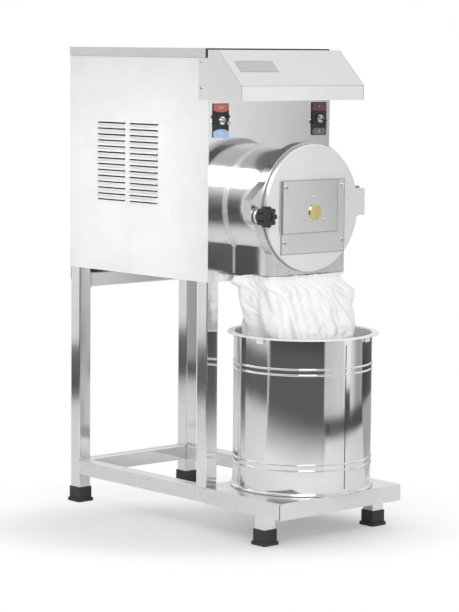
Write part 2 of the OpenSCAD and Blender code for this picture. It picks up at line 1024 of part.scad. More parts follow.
module chamber_shell() {
    inner_half = chute_w / 2 - chamber_wall;
    color(polished)
        along_v(shell_v0, plate_v0)
            difference() {
                chamber_outline(chamber_r, chute_w / 2, chute_bottom);
                chamber_outline(chamber_r - chamber_wall, inner_half, chute_bottom - cut);
            }
}

// The knob's lug on the left of the flange, in x and z
module lug_outline() {
    polygon([[-flange_r + 30, axis_z + lug_top + 26], [-stud_x - 20, axis_z + lug_top - 26],
        [-stud_x - 20, stud_z - 8], [-stud_x - 12, stud_z - 15], [-flange_r + 30, stud_z - 30]]);
}

module flange_outline() {
    chamber_outline(flange_r, chute_w / 2 + flange_lip, chute_bottom);
    lug_outline();
}

module flange_hinge_lug(z) {
    rod_z(hinge_x, hinge_v, door_barrel_r, z, z + knuckle_h);
    slab([opening_r + 8, hinge_x], [hinge_v - door_barrel_r + 1, hinge_v + door_barrel_r - 2], [z, z + knuckle_h]);
}

module front_flange() {
    color(cast_metal)
        difference() {
            union() {
                along_v(flange_v0, flange_v1)
                    flange_outline();
                flange_hinge_lug(hinge_z - hinge_ear_h / 2);
                flange_hinge_lug(hinge_z + hinge_ear_h / 2 - knuckle_h);
            }
            rod_v(0, axis_z, opening_r, flange_v0 - cut, flange_v1 + cut);
            along_v(flange_v0 - cut, plate_v0)
                chamber_outline(chamber_r + seat, chute_w / 2 + seat, chute_bottom - cut);
            rod_v(-stud_x, stud_z, stud_r + stud_room, flange_v0 - cut, flange_v1 + cut);
            rod_z(hinge_x, hinge_v, door_pin_r + seat, hinge_z - hinge_ear_h, hinge_z + hinge_ear_h);
            rod_z(hinge_x, hinge_v, door_barrel_r + rest_gap, hinge_z - hinge_ear_h / 2 + knuckle_h,
                hinge_z + hinge_ear_h / 2 - knuckle_h);
        }
}

module outlet_collar() {
    inner_half = chute_w / 2 - chamber_wall - seat;
    color(polished)
        difference() {
            union() {
                slab([-inner_half, inner_half], [shell_v0, plate_v0], [chute_bottom, chute_bottom + collar_wall]);
                along_z(chute_bottom - collar_h, chute_bottom + collar_wall)
                    translate([0, collar_mid])
                        round_rect(2 * collar_hw, 2 * collar_hd, collar_corner);
            }
            along_z(chute_bottom - collar_h - cut, chute_bottom + collar_wall + cut)
                translate([0, collar_mid])
                    round_rect(2 * (collar_hw - collar_wall), 2 * (collar_hd - collar_wall),
                        collar_corner - collar_wall);
        }
}

// Grinding set

// The lower half of a slotted cylinder, seated in the door opening and on the back plate's ledge
module grinding_screen() {
    screen_r = opening_r - rest_gap;
    screen_v = [shell_v0 + 1, flange_v1 - 3];
    slot_room = 8;
    slot_pitch = (screen_v[1] - screen_v[0] - 2 * slot_room) / screen_cols;
    slot_l = slot_pitch - 7;
    slot_w = 5;
    color(dark_steel)
        difference() {
            rod_v(0, axis_z, screen_r, screen_v[0], screen_v[1]);
            rod_v(0, axis_z, screen_r - screen_t, screen_v[0] - cut, screen_v[1] + cut);
            slab([-200, 200], [screen_v[0] - cut, screen_v[1] + cut], [axis_z, axis_z + 200]);
            for (row = [0 : screen_rows - 1], col = [0 : screen_cols - 1]) {
                turn = (row + 0.5) * 150 / screen_rows - 75;
                v0 = screen_v[0] + slot_room + col * slot_pitch + 3.5;
                translate([0, rear_y - v0 - slot_l, axis_z])
                    rotate([0, turn, 0])
                        translate([-slot_w / 2, 0, -screen_r - cut])
                            cube([slot_w, slot_l, screen_t + 2 * cut]);
            }
        }
}

module beater() {
    disc_r = beater_r - hammer_l * 0.6;
    ring_r = disc_r - ring_w;
    hammer_v = [beater_v[0] + 2, beater_v[1]];
    color(dark_steel)
        difference() {
            union() {
                rod_v(0, axis_z, hub_r, beater_v[0], beater_v[1]);
                rod_v(0, axis_z, disc_r, beater_v[0], beater_v[0] + disc_t);
                difference() {
                    rod_v(0, axis_z, disc_r, beater_v[1] - disc_t - 6, beater_v[1] - 6);
                    rod_v(0, axis_z, ring_r, beater_v[1] - disc_t - 6 - cut, beater_v[1] - 6 + cut);
                }
                for (i = [0 : hammer_count - 1]) {
                    translate([0, rear_y - hammer_v[1], axis_z])
                        rotate([0, i * 360 / hammer_count + 15, 0])
                            translate([-hammer_t / 2, 0, beater_r - hammer_l])
                                cube([hammer_t, hammer_v[1] - hammer_v[0], hammer_l - 1]);
                }
            }
            rod_v(0, axis_z, shaft_r + seat, beater_v[0] - cut, beater_v[1] + cut);
        }
}

module beater_cap() {
    color(brass)
        difference() {
            union() {
                rod_v(0, axis_z, shaft_r + 8, beater_v[1] + seat, beater_v[1] + 3);
                translate([0, rear_y - beater_v[1] - 3, axis_z])
                    rotate([90, 0, 0])
                        cylinder(r = shaft_r + 6, h = cap_len - 3, $fn = 6);
            }
            rod_v(0, axis_z, shaft_r + seat, beater_v[1] - cut, shaft_v[1] + seat);
        }
}

module motor_shaft() {
    color(dark_steel)
        rod_v(0, axis_z, shaft_r, shaft_v[0], shaft_v[1]);
}

// Motor

module motor_body() {
    foot_x = [motor_r * 0.45, motor_r * 0.8];
    foot_v = [motor_v0 + 30, motor_v1 - 30];
    color(motor_grey)
        difference() {
            union() {
                rod_v(0, axis_z, motor_r, motor_v0, motor_v1);
                rod_v(0, axis_z, bell_r, motor_v0 - bell_t, motor_v1 + bell_t);
                both_sides()
                    slab(foot_x, foot_v, [motor_plate_z[1], axis_z - motor_r * 0.55]);
            }
            rod_v(0, axis_z, shaft_r + 2, motor_v0 - bell_t - cut, motor_v1 + bell_t + cut);
            rod_v(0, axis_z, motor_r - housing_wall, motor_v0 + housing_wall, motor_v1 - housing_wall);
            rod_v(0, axis_z, bearing_r + seat, motor_v0 - bell_t - cut, motor_v0);
            rod_v(0, axis_z, bearing_r + seat, motor_v1, motor_v1 + bell_t + cut);
        }
}

module motor_bearings() {
    color(polished)
        for (v0 = [motor_v0 - bell_t + 1, motor_v1 + seat]) {
            difference() {
                rod_v(0, axis_z, bearing_r, v0, v0 + bell_t - 1 - seat);
                rod_v(0, axis_z, shaft_r + running, v0 - cut, v0 + bell_t + cut);
            }
        }
}

module motor_fan() {
    blade_r = motor_r - 14;
    blade_t = 3;
    fan_hub_r = shaft_r + 8;
    color(black)
        along_v(fan_v[0], fan_v[1])
            translate([0, axis_z])
                difference() {
                    union() {
                        circle(fan_hub_r);
                        for (i = [0 : fan_blades - 1]) {
                            rotate((i + 0.5) * 360 / fan_blades)
                                translate([fan_hub_r - 2, -blade_t / 2])
                                    square([blade_r - fan_hub_r, blade_t]);
                        }
                    }
                    circle(shaft_r + seat);
                }
}

module fan_cowl() {
    wall = 1.5;
    color(motor_grey)
        difference() {
            rod_v(0, axis_z, motor_r, cowl_v0, motor_v0 - seat);
            rod_v(0, axis_z, motor_r - wall, cowl_v0 + wall, motor_v0 + cut);
            for (turn = [0 : 30 : 330]) {
                translate([0, rear_y - cowl_v0 - wall - cut, axis_z])
                    rotate([0, turn, 0])
                        translate([-4, 0, 30])
                            cube([8, wall + 2 * cut, motor_r - 44]);
            }
        }
}

module run_capacitor() {
    can_x = -leg_x0 + 2 * can_r;
    can_v = cowl_v0 - can_gap - can_r;
    can_z = motor_plate_z[1] + can_h;
    color(satin) {
        rod_z(can_x, can_v, can_r, motor_plate_z[1], can_z);
        rod_z(can_x, can_v, can_r * 0.7, can_z, can_z + can_block_h);
    }
}

// Door

module door_disc() {
    translate([0, rear_y - door_v0, axis_z])
        rotate([90, 0, 0])
            rotate_extrude()
                polygon([[0, 0], [door_r, 0], [door_r, door_t - door_chamfer],
                    [door_r - door_chamfer, door_t], [0, door_t]]);
}

// The door with its hinge ear and knuckle on the right and the knob's ear on the left
module door() {
    knuckle_z = [hinge_z - hinge_ear_h / 2 + knuckle_h + knuckle_gap,
        hinge_z + hinge_ear_h / 2 - knuckle_h - knuckle_gap];
    color(polished)
        difference() {
            union() {
                door_disc();
                slab([door_r - 40, ear_end], [door_v0, door_v1],
                    [hinge_z - hinge_ear_h / 2, hinge_z + hinge_ear_h / 2]);
                along_v(door_v0, door_v1 - 1) {
                    translate([-stud_x, stud_z])
                        circle(ear_r);
                    translate([-stud_x, stud_z - ear_r])
                        square([stud_x - door_r + 30, 2 * ear_r]);
                }
                rod_z(hinge_x, hinge_v, door_barrel_r, knuckle_z[0], knuckle_z[1]);
                slab([hinge_x - 7, hinge_x + 7], [hinge_v, door_v0 + cut], knuckle_z);
            }
            rod_z(hinge_x, hinge_v, door_pin_r + running, knuckle_z[0] - cut, knuckle_z[1] + cut);
            rod_v(-stud_x, stud_z, stud_r + running, door_v0 - cut, door_v1 + cut);
        }
}

module door_seal() {
    color(black)
        difference() {
            rod_v(0, axis_z, door_r - 6, door_v0 - seal_t, door_v0);
            rod_v(0, axis_z, opening_r + 3, door_v0 - seal_t - cut, door_v0 + cut);
        }
}

cover_z = axis_z - 17;
cover_v = door_v1 + cover_t;

module door_cover_plate() {
    color(satin)
        along_v(door_v1, cover_v)
            translate([0, cover_z])
                round_rect(cover_w, cover_h, 2);
}

// The sight plate lies in the cover plate's upper left corner
module door_sight_plate() {
    mid = [(sight_w - cover_w) / 2, cover_z + (cover_h - sight_h) / 2];
    color(polished)
        along_v(cover_v, cover_v + sight_t)
            translate(mid)
                round_rect(sight_w, sight_h, 2);
}

module door_cap() {
    cap_z = axis_z - 7;
    color(brass)
        translate([0, rear_y - cover_v - sight_t, cap_z])
            rotate([90, 0, 0])
                rotate_extrude()
                    polygon([[0, 0], [cap_r, 0], [cap_r, cap_t - 1], [cap_r - 1, cap_t], [0, cap_t]]);
}

module door_hinge_pin() {
    pin_z = [hinge_z - hinge_ear_h / 2 - 3, hinge_z + hinge_ear_h / 2 + seat];
    color(dark_steel) {
        rod_z(hinge_x, hinge_v, door_pin_r, pin_z[0], pin_z[1] + 1);
        rod_z(hinge_x, hinge_v, door_pin_r + 2, pin_z[1], pin_z[1] + 4);
    }
}

module star_knob() {
    lobe_r = 5.5;
    neck_d = 4;
    knob_v = door_v1 + rest_gap;
    color(black)
        difference() {
            union() {
                rod_v(-stud_x, stud_z, knob_r - lobe_r - 3, knob_v, knob_v + neck_d + 1);
                along_v(knob_v + neck_d, knob_v + neck_d + knob_d)
                    translate([-stud_x, stud_z]) {
                        circle(knob_r - lobe_r);
                        for (i = [0 : knob_lobes - 1]) {
                            rotate(i * 360 / knob_lobes)
                                translate([knob_r - lobe_r, 0])
                                    circle(lobe_r);
                        }
                    }
            }
            rod_v(-stud_x, stud_z, stud_r + seat, knob_v - cut, knob_v + neck_d + knob_d - 6);
            rod_v(-stud_x, stud_z, 9, knob_v + neck_d + knob_d - 2, knob_v + neck_d + knob_d + cut);
        }
}

module knob_stud() {
    color(polished)
        rod_v(-stud_x, stud_z, stud_r, flange_v0 + 8, door_v1 + rest_gap + 12);
}

// Filter sleeve: a loop round the collar that swells to a folded round sleeve in the drum

hem_top = chute_bottom - rest_gap;
hem_bottom = chute_bottom - collar_h + 6;
bag_low = drum_top - bag_dip;
bag_mid = [drum_x - 5, drum_v - 7];
bag_sides = 72;

// Distance from the middle of a round-cornered rectangle to its edge at an angle
function rect_reach(a, b, c, turn) =
    let (ca = abs(cos(turn)), sa = abs(sin(turn)),
        flat = min(ca > 0.001 ? a / ca : 1e6, sa > 0.001 ? b / sa : 1e6),
        corner = flat * ca > a - c && flat * sa > b - c,
        p = (a - c) * ca + (b - c) * sa,
        q = (a - c) * (a - c) + (b - c) * (b - c) - c * c)
    corner ? p + sqrt(max(0, p * p - q)) : flat;

// How far the sleeve has opened out at a height, from 0 at the hem to 1 in the drum
function bag_open(z) =
    let (s = min(1, max(0, (hem_bottom - z) / 62)))
    s * s * (3 - 2 * s);

function bag_point(turn, z, inside) =
    let (s = bag_open(z),
        grow = hem_gap + bag_t - inside,
        hem = rect_reach(collar_hw + grow, collar_hd + grow, collar_corner + grow, turn),
        fold = bag_fold_d * s * (sin(bag_folds * turn + 40 * s) + 0.4 * sin((bag_folds + 6) * turn)),
        r = hem * (1 - s) + (bag_r + fold - inside) * s)
    [bag_mid[0] * s + r * cos(turn), rear_y - (collar_mid * (1 - s) + bag_mid[1] * s) + r * sin(turn), z];

bag_levels = [hem_top, hem_bottom, hem_bottom - 15, hem_bottom - 31, hem_bottom - 47, hem_bottom - 62,
    (hem_bottom - 62) * 0.6 + bag_low * 0.4, bag_low];

module filter_bag() {
    n = bag_sides;
    m = len(bag_levels);
    turns = [for (i = [0 : n - 1]) i * 360 / n];
    outer = [for (z = bag_levels, t = turns) bag_point(t, z, 0)];
    inner = [for (z = bag_levels, t = turns) bag_point(t, z, bag_t)];
    // Corner k of level j on the outer skin, or on the inner one
    function at(j, k, skin) = skin * m * n + j * n + k % n;
    walls = [for (j = [0 : m - 2], k = [0 : n - 1]) each [
        [at(j, k, 0), at(j, k + 1, 0), at(j + 1, k, 0)],
        [at(j, k + 1, 0), at(j + 1, k + 1, 0), at(j + 1, k, 0)],
        [at(j, k, 1), at(j + 1, k, 1), at(j, k + 1, 1)],
        [at(j, k + 1, 1), at(j + 1, k, 1), at(j + 1, k + 1, 1)]]];
    hems = [for (k = [0 : n - 1]) each [
        [at(0, k, 0), at(0, k, 1), at(0, k + 1, 0)],
        [at(0, k + 1, 0), at(0, k, 1), at(0, k + 1, 1)],
        [at(m - 1, k, 0), at(m - 1, k + 1, 0), at(m - 1, k, 1)],
        [at(m - 1, k + 1, 0), at(m - 1, k + 1, 1), at(m - 1, k, 1)]]];
    color(cloth)
        polyhedron(points = concat(outer, inner), faces = concat(walls, hems));
}

// Drum

module on_drum() {
    translate([drum_x, rear_y - drum_v, drum_z])
        children();
}

// A thin rolled wall with two pairs of beads and a lapped seam at the front
module drum_shell() {
    lap_turn = 4;
    lap_t = 0.8;
    wall_z = [rest_gap, drum_h - rim_t];
    bead_z = [bead_low, bead_low + bead_pitch, drum_h - bead_high - bead_pitch, drum_h - bead_high];
    color(polished)
        on_drum() {
            difference() {
                union() {
                    translate([0, 0, wall_z[0]])
                        cylinder(r = drum_r, h = wall_z[1] - wall_z[0]);
                    for (z = bead_z) {
                        rotate_extrude()
                            translate([drum_r - 0.6, z])
                                circle(bead_r);
                    }
                    intersection() {
                        translate([0, 0, 12])
                            cylinder(r = drum_r + lap_t, h = drum_h - rim_t - 24);
                        rotate([0, 0, -96])
                            translate([drum_r - 6, 0, 0])
                                cube([12, drum_r * sin(lap_turn), drum_h]);
                    }
                }
                translate([0, 0, -cut])
                    cylinder(r = drum_r - drum_wall, h = drum_h + 2 * cut);
            }
        }
}

// A flat ring with a rolled edge and four lugs below it
module drum_rim() {
    color(satin)
        on_drum() {
            difference() {
                union() {
                    translate([0, 0, drum_h - rim_t])
                        cylinder(r = rim_r - rim_t / 2, h = rim_t);
                    rotate_extrude()
                        translate([rim_r - rim_t / 2, drum_h - rim_t / 2])
                            circle(rim_t / 2);
                    for (turn = [10, 100, 190, 290]) {
                        rotate([0, 0, turn])
                            translate([drum_r + 1, -8, drum_h - rim_t - 10])
                                cube([5, 16, 10 + rim_t / 2]);
                    }
                }
                translate([0, 0, drum_h - rim_t - cut])
                    cylinder(r = drum_r - drum_wall, h = rim_t + 2 * cut);
            }
        }
}

// A flat floor with a rolled foot
module drum_base() {
    foot_roll = 3;
    color(polished)
        on_drum() {
            translate([0, 0, 4])
                cylinder(r = drum_r - drum_wall - seat, h = 1.2);
            difference() {
                rotate_extrude()
                    translate([drum_r + foot_roll - 0.5, foot_roll])
                        circle(foot_roll);
                cylinder(r = drum_r + seat, h = 3 * foot_roll);
            }
        }
}

rear_leg_left();
rear_leg_right();
front_leg_left();
front_leg_right();
base_rail_left();
base_rail_right();
base_rail_rear();
platform_cross_rails();
platform_pan();
front_stubs();
rubber_feet();
upper_rail_rear();
upper_rails_side();
motor_plate();
side_panel_left();
side_panel_right();
rear_panel();
front_panel();
hood();
cable_gland();
hopper();
hopper_gate();
feed_elbow();
lid();
lid_grip();
lid_hinge_fixed();
lid_hinge_moving();
lid_hinge_pins();
switch_plate_left();
switch_plate_right();
switch_collars();
switch_toggle_left();
switch_toggle_right();
chamber_back_plate();
chamber_shell();
front_flange();
outlet_collar();
grinding_screen();
beater();
beater_cap();
motor_shaft();
motor_body();
motor_bearings();
motor_fan();
fan_cowl();
run_capacitor();
door();
door_seal();
door_cover_plate();
door_sight_plate();
door_cap();
door_hinge_pin();
star_knob();
knob_stud();
filter_bag();
drum_shell();
drum_rim();
drum_base();
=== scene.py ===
"""Looks of the domestic flour mill: finishes for the solids, the cloth sleeve and the small fittings."""
import math

import bmesh
import bpy
from mathutils import Matrix, Vector, noise


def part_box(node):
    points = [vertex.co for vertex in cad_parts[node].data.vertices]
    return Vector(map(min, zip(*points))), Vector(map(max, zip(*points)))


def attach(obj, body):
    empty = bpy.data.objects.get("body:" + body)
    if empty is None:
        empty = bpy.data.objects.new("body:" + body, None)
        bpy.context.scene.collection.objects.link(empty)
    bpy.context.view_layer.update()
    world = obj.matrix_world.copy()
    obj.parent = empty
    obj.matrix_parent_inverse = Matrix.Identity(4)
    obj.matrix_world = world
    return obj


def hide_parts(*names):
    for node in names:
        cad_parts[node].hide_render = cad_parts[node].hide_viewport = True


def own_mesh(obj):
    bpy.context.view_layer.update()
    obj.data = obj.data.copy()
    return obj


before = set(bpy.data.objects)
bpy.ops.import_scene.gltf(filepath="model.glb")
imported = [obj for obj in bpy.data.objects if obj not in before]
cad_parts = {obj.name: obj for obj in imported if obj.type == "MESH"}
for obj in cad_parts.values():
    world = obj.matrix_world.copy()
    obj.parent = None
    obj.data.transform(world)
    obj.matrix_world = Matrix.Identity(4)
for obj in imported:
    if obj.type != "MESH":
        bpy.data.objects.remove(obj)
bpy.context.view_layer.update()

# Places that the pieces share, in metres

REAR_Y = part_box("rear_panel")[1][1]
SIDE_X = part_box("rear_panel")[1][0]
HOOD_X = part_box("hood")[1][0]
HOOD_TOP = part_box("hood")[1][2]
LIP_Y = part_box("hood")[0][1]
LIP_TALL = 0.031
LIP_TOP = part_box("hood")[0][2] + LIP_TALL
HOOD_SLOPE = Vector((0, -0.7025, 0.7117))
MM = 0.001


def at(x, v, z):
    """A place from millimetres: across, forward of the rear panel, and up."""
    return Vector((x * MM, REAR_Y - v * MM, z * MM))


def middle(node):
    """The middle of a solid's box."""
    low, high = (Vector(corner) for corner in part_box(node))
    return (low + high) / 2


AXIS_Z = middle("door_seal").z
DRUM_MID = middle("drum_shell")
DRUM_R = 0.148
DRUM_INNER = DRUM_R - 0.0005


# Shader arithmetic

class Wire:
    """A shader socket; arithmetic on it adds Math nodes."""

    def __init__(self, nodes, socket):
        self.nodes = nodes
        self.socket = socket

    def math(self, operation, first, second=0.0):
        return self.nodes.add("ShaderNodeMath", {"operation": operation}, {0: first, 1: second})

    def __abs__(self):
        return self.math("ABSOLUTE", self)

    def __add__(self, other):
        return self.math("ADD", self, other)

    __radd__ = __add__

    def __sub__(self, other):
        return self.math("SUBTRACT", self, other)

    def __rsub__(self, other):
        return self.math("SUBTRACT", other, self)

    def __mul__(self, other):
        return self.math("MULTIPLY", self, other)

    __rmul__ = __mul__

    def __truediv__(self, other):
        return self.math("DIVIDE", self, other)

    def __rtruediv__(self, other):
        return self.math("DIVIDE", other, self)

    def __pow__(self, other):
        return self.math("POWER", self, other)

    def __rpow__(self, other):
        return self.math("POWER", other, self)

    def __gt__(self, other):
        return self.math("GREATER_THAN", self, other)

    def __lt__(self, other):
        return self.math("LESS_THAN", self, other)


class Nodes:
    """A node tree with one method that adds a node."""

    def __init__(self, tree):
        self.tree = tree

    def add(self, kind, settings=None, values=None, out=0):
        """A node from its type, its settings, the values or links of its sockets, and the output to use."""
        node = self.tree.nodes.new(kind)
        for name, value in (settings or {}).items():
            setattr(node, name, value)
        for key, value in (values or {}).items():
            self.feed(node.inputs[key], value)
        return Wire(self, node.outputs[out]) if node.outputs else None

    def feed(self, socket, value):
        """A value or a link into a socket; a list makes several links."""
        if isinstance(value, list):
            for part in value:
                self.feed(socket, part)
        elif isinstance(value, Wire):
            self.tree.links.new(value.socket, socket)
        else:
            socket.default_value = value

    # Short names for the nodes that most finishes use

    def here(self, scale=(1, 1, 1)):
        place = self.add("ShaderNodeTexCoord", out="Object")
        return self.add("ShaderNodeMapping", None, {"Vector": place, "Scale": scale})

    def grain(self, scale, detail=2.0, rough=0.5, stretch=(1, 1, 1)):
        return self.add("ShaderNodeTexNoise", None, {
            "Vector": self.here(stretch), "Scale": scale, "Detail": detail, "Roughness": rough})

    def span(self, value, low, high, new_low=0.0, new_high=1.0):
        return self.add("ShaderNodeMapRange", {"interpolation_type": "SMOOTHSTEP"},
                        {0: value, 1: low, 2: high, 3: new_low, 4: new_high})

    def mix(self, share, first, second):
        return self.add("ShaderNodeMix", {"data_type": "RGBA"}, {0: share, 6: first, 7: second}, 2)

    def length(self, vector):
        return self.add("ShaderNodeVectorMath", {"operation": "LENGTH"}, {0: vector}, "Value")

    def axes(self, vector):
        return [self.add("ShaderNodeSeparateXYZ", None, {0: vector}, axis) for axis in range(3)]

    def bump(self, height, strength, distance, normal=None):
        values = {"Height": height, "Strength": strength, "Distance": distance}
        if normal is not None:
            values["Normal"] = normal
        return self.add("ShaderNodeBump", None, values)


class Finish(Nodes):
    """A material with a Principled shader."""

    def __init__(self, name, **uniform):
        self.material = bpy.data.materials.new(name)
        self.material.use_nodes = True
        super().__init__(self.material.node_tree)
        self.shader = self.tree.nodes["Principled BSDF"]
        for key, value in uniform.items():
            self.shader.inputs[key.replace("_", " ")].default_value = value

    def wear(self, socket, value):
        self.feed(self.shader.inputs[socket], value)

    def show(self, shader):
        """Another shader in the Principled one's place."""
        self.feed(self.tree.nodes["Material Output"].inputs["Surface"], shader)


def rgb(red, green, blue):
    return (red, green, blue, 1.0)


def shade(color, share):
    """A colour made darker or lighter."""
    return tuple(part * share for part in color[:3]) + (1.0,)


# Finishes

BLACK = rgb(0.0, 0.0, 0.0)
WHITE = rgb(1.0, 1.0, 1.0)
MIRROR = rgb(0.87, 0.875, 0.88)
PALE = rgb(0.90, 0.90, 0.895)
# The grey of the painted shade lines on the hood and on the door's plates
SHADE_LINE_TONE = shade(PALE, 0.30)

# Depths in metres: an inner face of a sheet, a cheek's outer face, and the painted shade lines along edges
# and folds
SKIN = 0.0006
CHEEK_SKIN = 0.0002
EDGE_SHADE_LINE = 0.0019
FOLD_SHADE_LINE = 0.0009
FOLD_BLEND = 0.001
PLATE_SHADE_LINE = 0.0015

# Polish lines across the rolling and along it, and how an inner face loses its polish
LINES_ACROSS, LINES_ALONG = 900, 8
DULL_METAL, DULL_GLOSS = 0.65, 0.30


def hood_painted_shade(finish, tone):
    """Painted shade on the hood: the slope and the cheeks darker than the lip, and dark lines along the
    cheeks' edges and the lip's fold.
    """
    x, _, z = finish.axes(finish.here())
    across = abs(x)
    front = across < HOOD_X - CHEEK_SKIN
    # Painted shade: the slope above the lip and the cheeks get darker copies of the lip's colour, for the
    # duller light they catch
    tone = finish.mix(finish.span(z, LIP_TOP - FOLD_BLEND, LIP_TOP), tone, shade(PALE, 0.82))
    tone = finish.mix(across > HOOD_X - CHEEK_SKIN, tone, shade(PALE, 0.85))
    # Painted shade lines along the cheeks' front edges and along the lip's fold
    edge = (across > HOOD_X - EDGE_SHADE_LINE) * front
    fold = (abs(z - LIP_TOP) < FOLD_SHADE_LINE) * front
    return finish.mix(edge * 0.75 + fold * 0.40, tone, SHADE_LINE_TONE)


def hood_inside(finish):
    """One on the faces under the hood."""
    x, y, z = finish.axes(finish.here())
    above = (z - LIP_TOP) * HOOD_SLOPE.z + (y - LIP_Y) * HOOD_SLOPE.y
    return (abs(x) < HOOD_X - SKIN) * (above < -SKIN) * (y > LIP_Y + SKIN) * (z < HOOD_TOP - SKIN)


def cabinet_inner_shade(finish, tone):
    """Painted shade: the cabinet's sheets are darkened on their inner faces, where the shade inside the
    cabinet falls.
    """
    x, y, _ = finish.axes(finish.here())
    inside = (abs(x) < SIDE_X - SKIN) * (y < REAR_Y - SKIN)
    return finish.mix(inside, tone, shade(PALE, 0.12))


def plate_edge_shade(node):
    """Painted shade: dark lines along the edges of a square plate, where the shadows of its edges fall."""
    mid = middle(node)
    half = Vector(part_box(node)[1]) - mid

    def marks(finish, tone):
        x, _, z = finish.axes(finish.here())
        rim = (abs(x - mid.x) > half.x - PLATE_SHADE_LINE) + (abs(z - mid.z) > half.z - PLATE_SHADE_LINE)
        return finish.mix(rim * 0.65, tone, SHADE_LINE_TONE)

    return marks


def drum_inside(finish):
    """One on the inner face of the drum's wall."""
    x, y, _ = finish.axes(finish.here())
    across, fore = x - DRUM_MID.x, y - DRUM_MID.y
    return (across * across + fore * fore) < DRUM_INNER ** 2


def sheet_steel(name, color, roughness, metal, along, wave=0.0, line=0.05, smear=0.04, bite=0.06,
                marks=None, dull=None):
    """Rolled stainless sheet or tube: polish lines along one axis, faint smears and a slow wave."""
    finish = Finish(name, Metallic=metal)
    stretch = tuple(LINES_ALONG if axis == along else LINES_ACROSS for axis in "xyz")
    lines = finish.grain(1.0, detail=3.0, rough=0.6, stretch=stretch)
    smears = finish.grain(9.0, detail=4.0, rough=0.62)
    cloud = finish.span(smears, 0.35, 0.7)
    tone = finish.mix(cloud, color, shade(color, 0.95))
    finish.wear("Base Color", marks(finish, tone) if marks else tone)
    gloss = roughness + cloud * smear + (lines - 0.5) * line
    if dull:
        share = dull(finish)
        finish.wear("Metallic", metal * (1 - share * DULL_METAL))
        gloss = gloss + share * DULL_GLOSS
    finish.wear("Roughness", gloss)
    normal = finish.bump(lines, bite, 0.0004)
    if wave:
        swell = finish.grain(3.2, detail=1.0, rough=0.4)
        normal = finish.bump(swell, wave, 0.02, normal)
    finish.wear("Normal", normal)
    return finish.material


def turned_metal(name, color, roughness, grit):
    """Cast or machined metal with a fine grit and darker hollows."""
    finish = Finish(name, Metallic=1.0)
    fine = finish.grain(900.0, rough=0.6)
    broad = finish.grain(24.0, detail=5.0, rough=0.65)
    finish.wear("Base Color", finish.mix(finish.span(broad, 0.35, 0.68), shade(color, 0.86), color))
    finish.wear("Roughness", roughness + (broad - 0.5) * 0.22)
    finish.wear("Normal", finish.bump(broad, grit, 0.002, finish.bump(fine, 0.10, 0.0004)))
    return finish.material


def moulded_skin(name, color, roughness, pebble):
    """Moulded rubber, plastic or seal with a pebbled skin and dusty highs."""
    finish = Finish(name)
    skin = finish.add("ShaderNodeTexVoronoi", None, {"Vector": finish.here(), "Scale": pebble})
    dust = finish.grain(30.0, detail=4.0, rough=0.7)
    finish.wear("Base Color", finish.mix(finish.span(dust, 0.45, 0.75), color, shade(color, 1.7)))
    finish.wear("Roughness", roughness + (dust - 0.5) * 0.2)
    finish.wear("Normal", finish.bump(skin, 0.25, 0.0004))
    return finish.material


def enamel(name, color):
    """Sprayed enamel with a slight orange peel."""
    finish = Finish(name, Coat_Weight=0.3)
    peel = finish.grain(260.0)
    dust = finish.grain(14.0, detail=4.0, rough=0.6)
    finish.wear("Base Color", finish.mix(finish.span(dust, 0.4, 0.7), color, shade(color, 0.8)))
    finish.wear("Roughness", 0.38 + (dust - 0.5) * 0.2)
    finish.wear("Normal", finish.bump(peel, 0.2, 0.0005))
    return finish.material


def woven_cotton(name, color):
    """Plain-weave cotton on the piece's own UV map, one thread crossing per unit."""
    finish = Finish(name, Roughness=0.9, Sheen_Weight=0.25, Sheen_Roughness=0.5)
    threads = finish.add("ShaderNodeTexCoord", out="UV")
    across, down, _ = finish.axes(threads)
    warp = across.math("SINE", across * math.pi)
    weft = down.math("SINE", down * math.pi)
    crossing = warp * weft
    slub = finish.grain(55.0, detail=3.0, rough=0.6)
    soil = finish.grain(7.0, detail=3.0)
    tone = finish.mix(finish.span(crossing, -0.9, 0.9), shade(color, 0.95), color)
    stain = finish.span(soil, 0.4, 0.75, 0.0, 0.35)
    finish.wear("Base Color", finish.mix(stain, tone, shade(color, 0.93)))
    finish.wear("Normal", finish.bump(crossing + slub * 0.8, 0.18, 0.0006))
    return finish.material


def printed_film(name, color):
    """A printed label film with a soft gloss."""
    finish = Finish(name, Coat_Weight=0.4)
    cloud = finish.grain(40.0, detail=3.0, rough=0.6)
    finish.wear("Base Color", finish.mix(cloud, color, shade(color, 0.88)))
    finish.wear("Roughness", 0.32 + (cloud - 0.5) * 0.16)
    return finish.material


polished_tube = sheet_steel("polished_tube", MIRROR, 0.07, 1.0, "z", 0.05)
polished_drum = sheet_steel("polished_drum", MIRROR, 0.05, 1.0, "z", 0.10, dull=drum_inside)
polished_shell = sheet_steel("polished_shell", MIRROR, 0.13, 1.0, "y", 0.03)
mirror_panel = sheet_steel("mirror_panel", MIRROR, 0.06, 1.0, "x", 0.03)
satin_panel = sheet_steel("satin_panel", PALE, 0.36, 0.22, "y", 0.02)
# The cabinet's side and rear sheets, with painted shade on their inner faces
cabinet_sheet = sheet_steel("cabinet_sheet", PALE, 0.36, 0.22, "y", 0.02, marks=cabinet_inner_shade)
satin_hood = sheet_steel("satin_hood", shade(PALE, 1.02), 0.30, 0.36, "x", 0.02, bite=0.03,
                         marks=hood_painted_shade, dull=hood_inside)
satin_lid = sheet_steel("satin_lid", shade(PALE, 0.84), 0.16, 0.90, "y", 0.06)
satin_base = sheet_steel("satin_base", shade(PALE, 0.93), 0.25, 0.80, "y", 0.04, bite=0.025)
satin_door = sheet_steel("satin_door", shade(PALE, 0.97), 0.24, 0.55, "x", 0.02, bite=0.012)
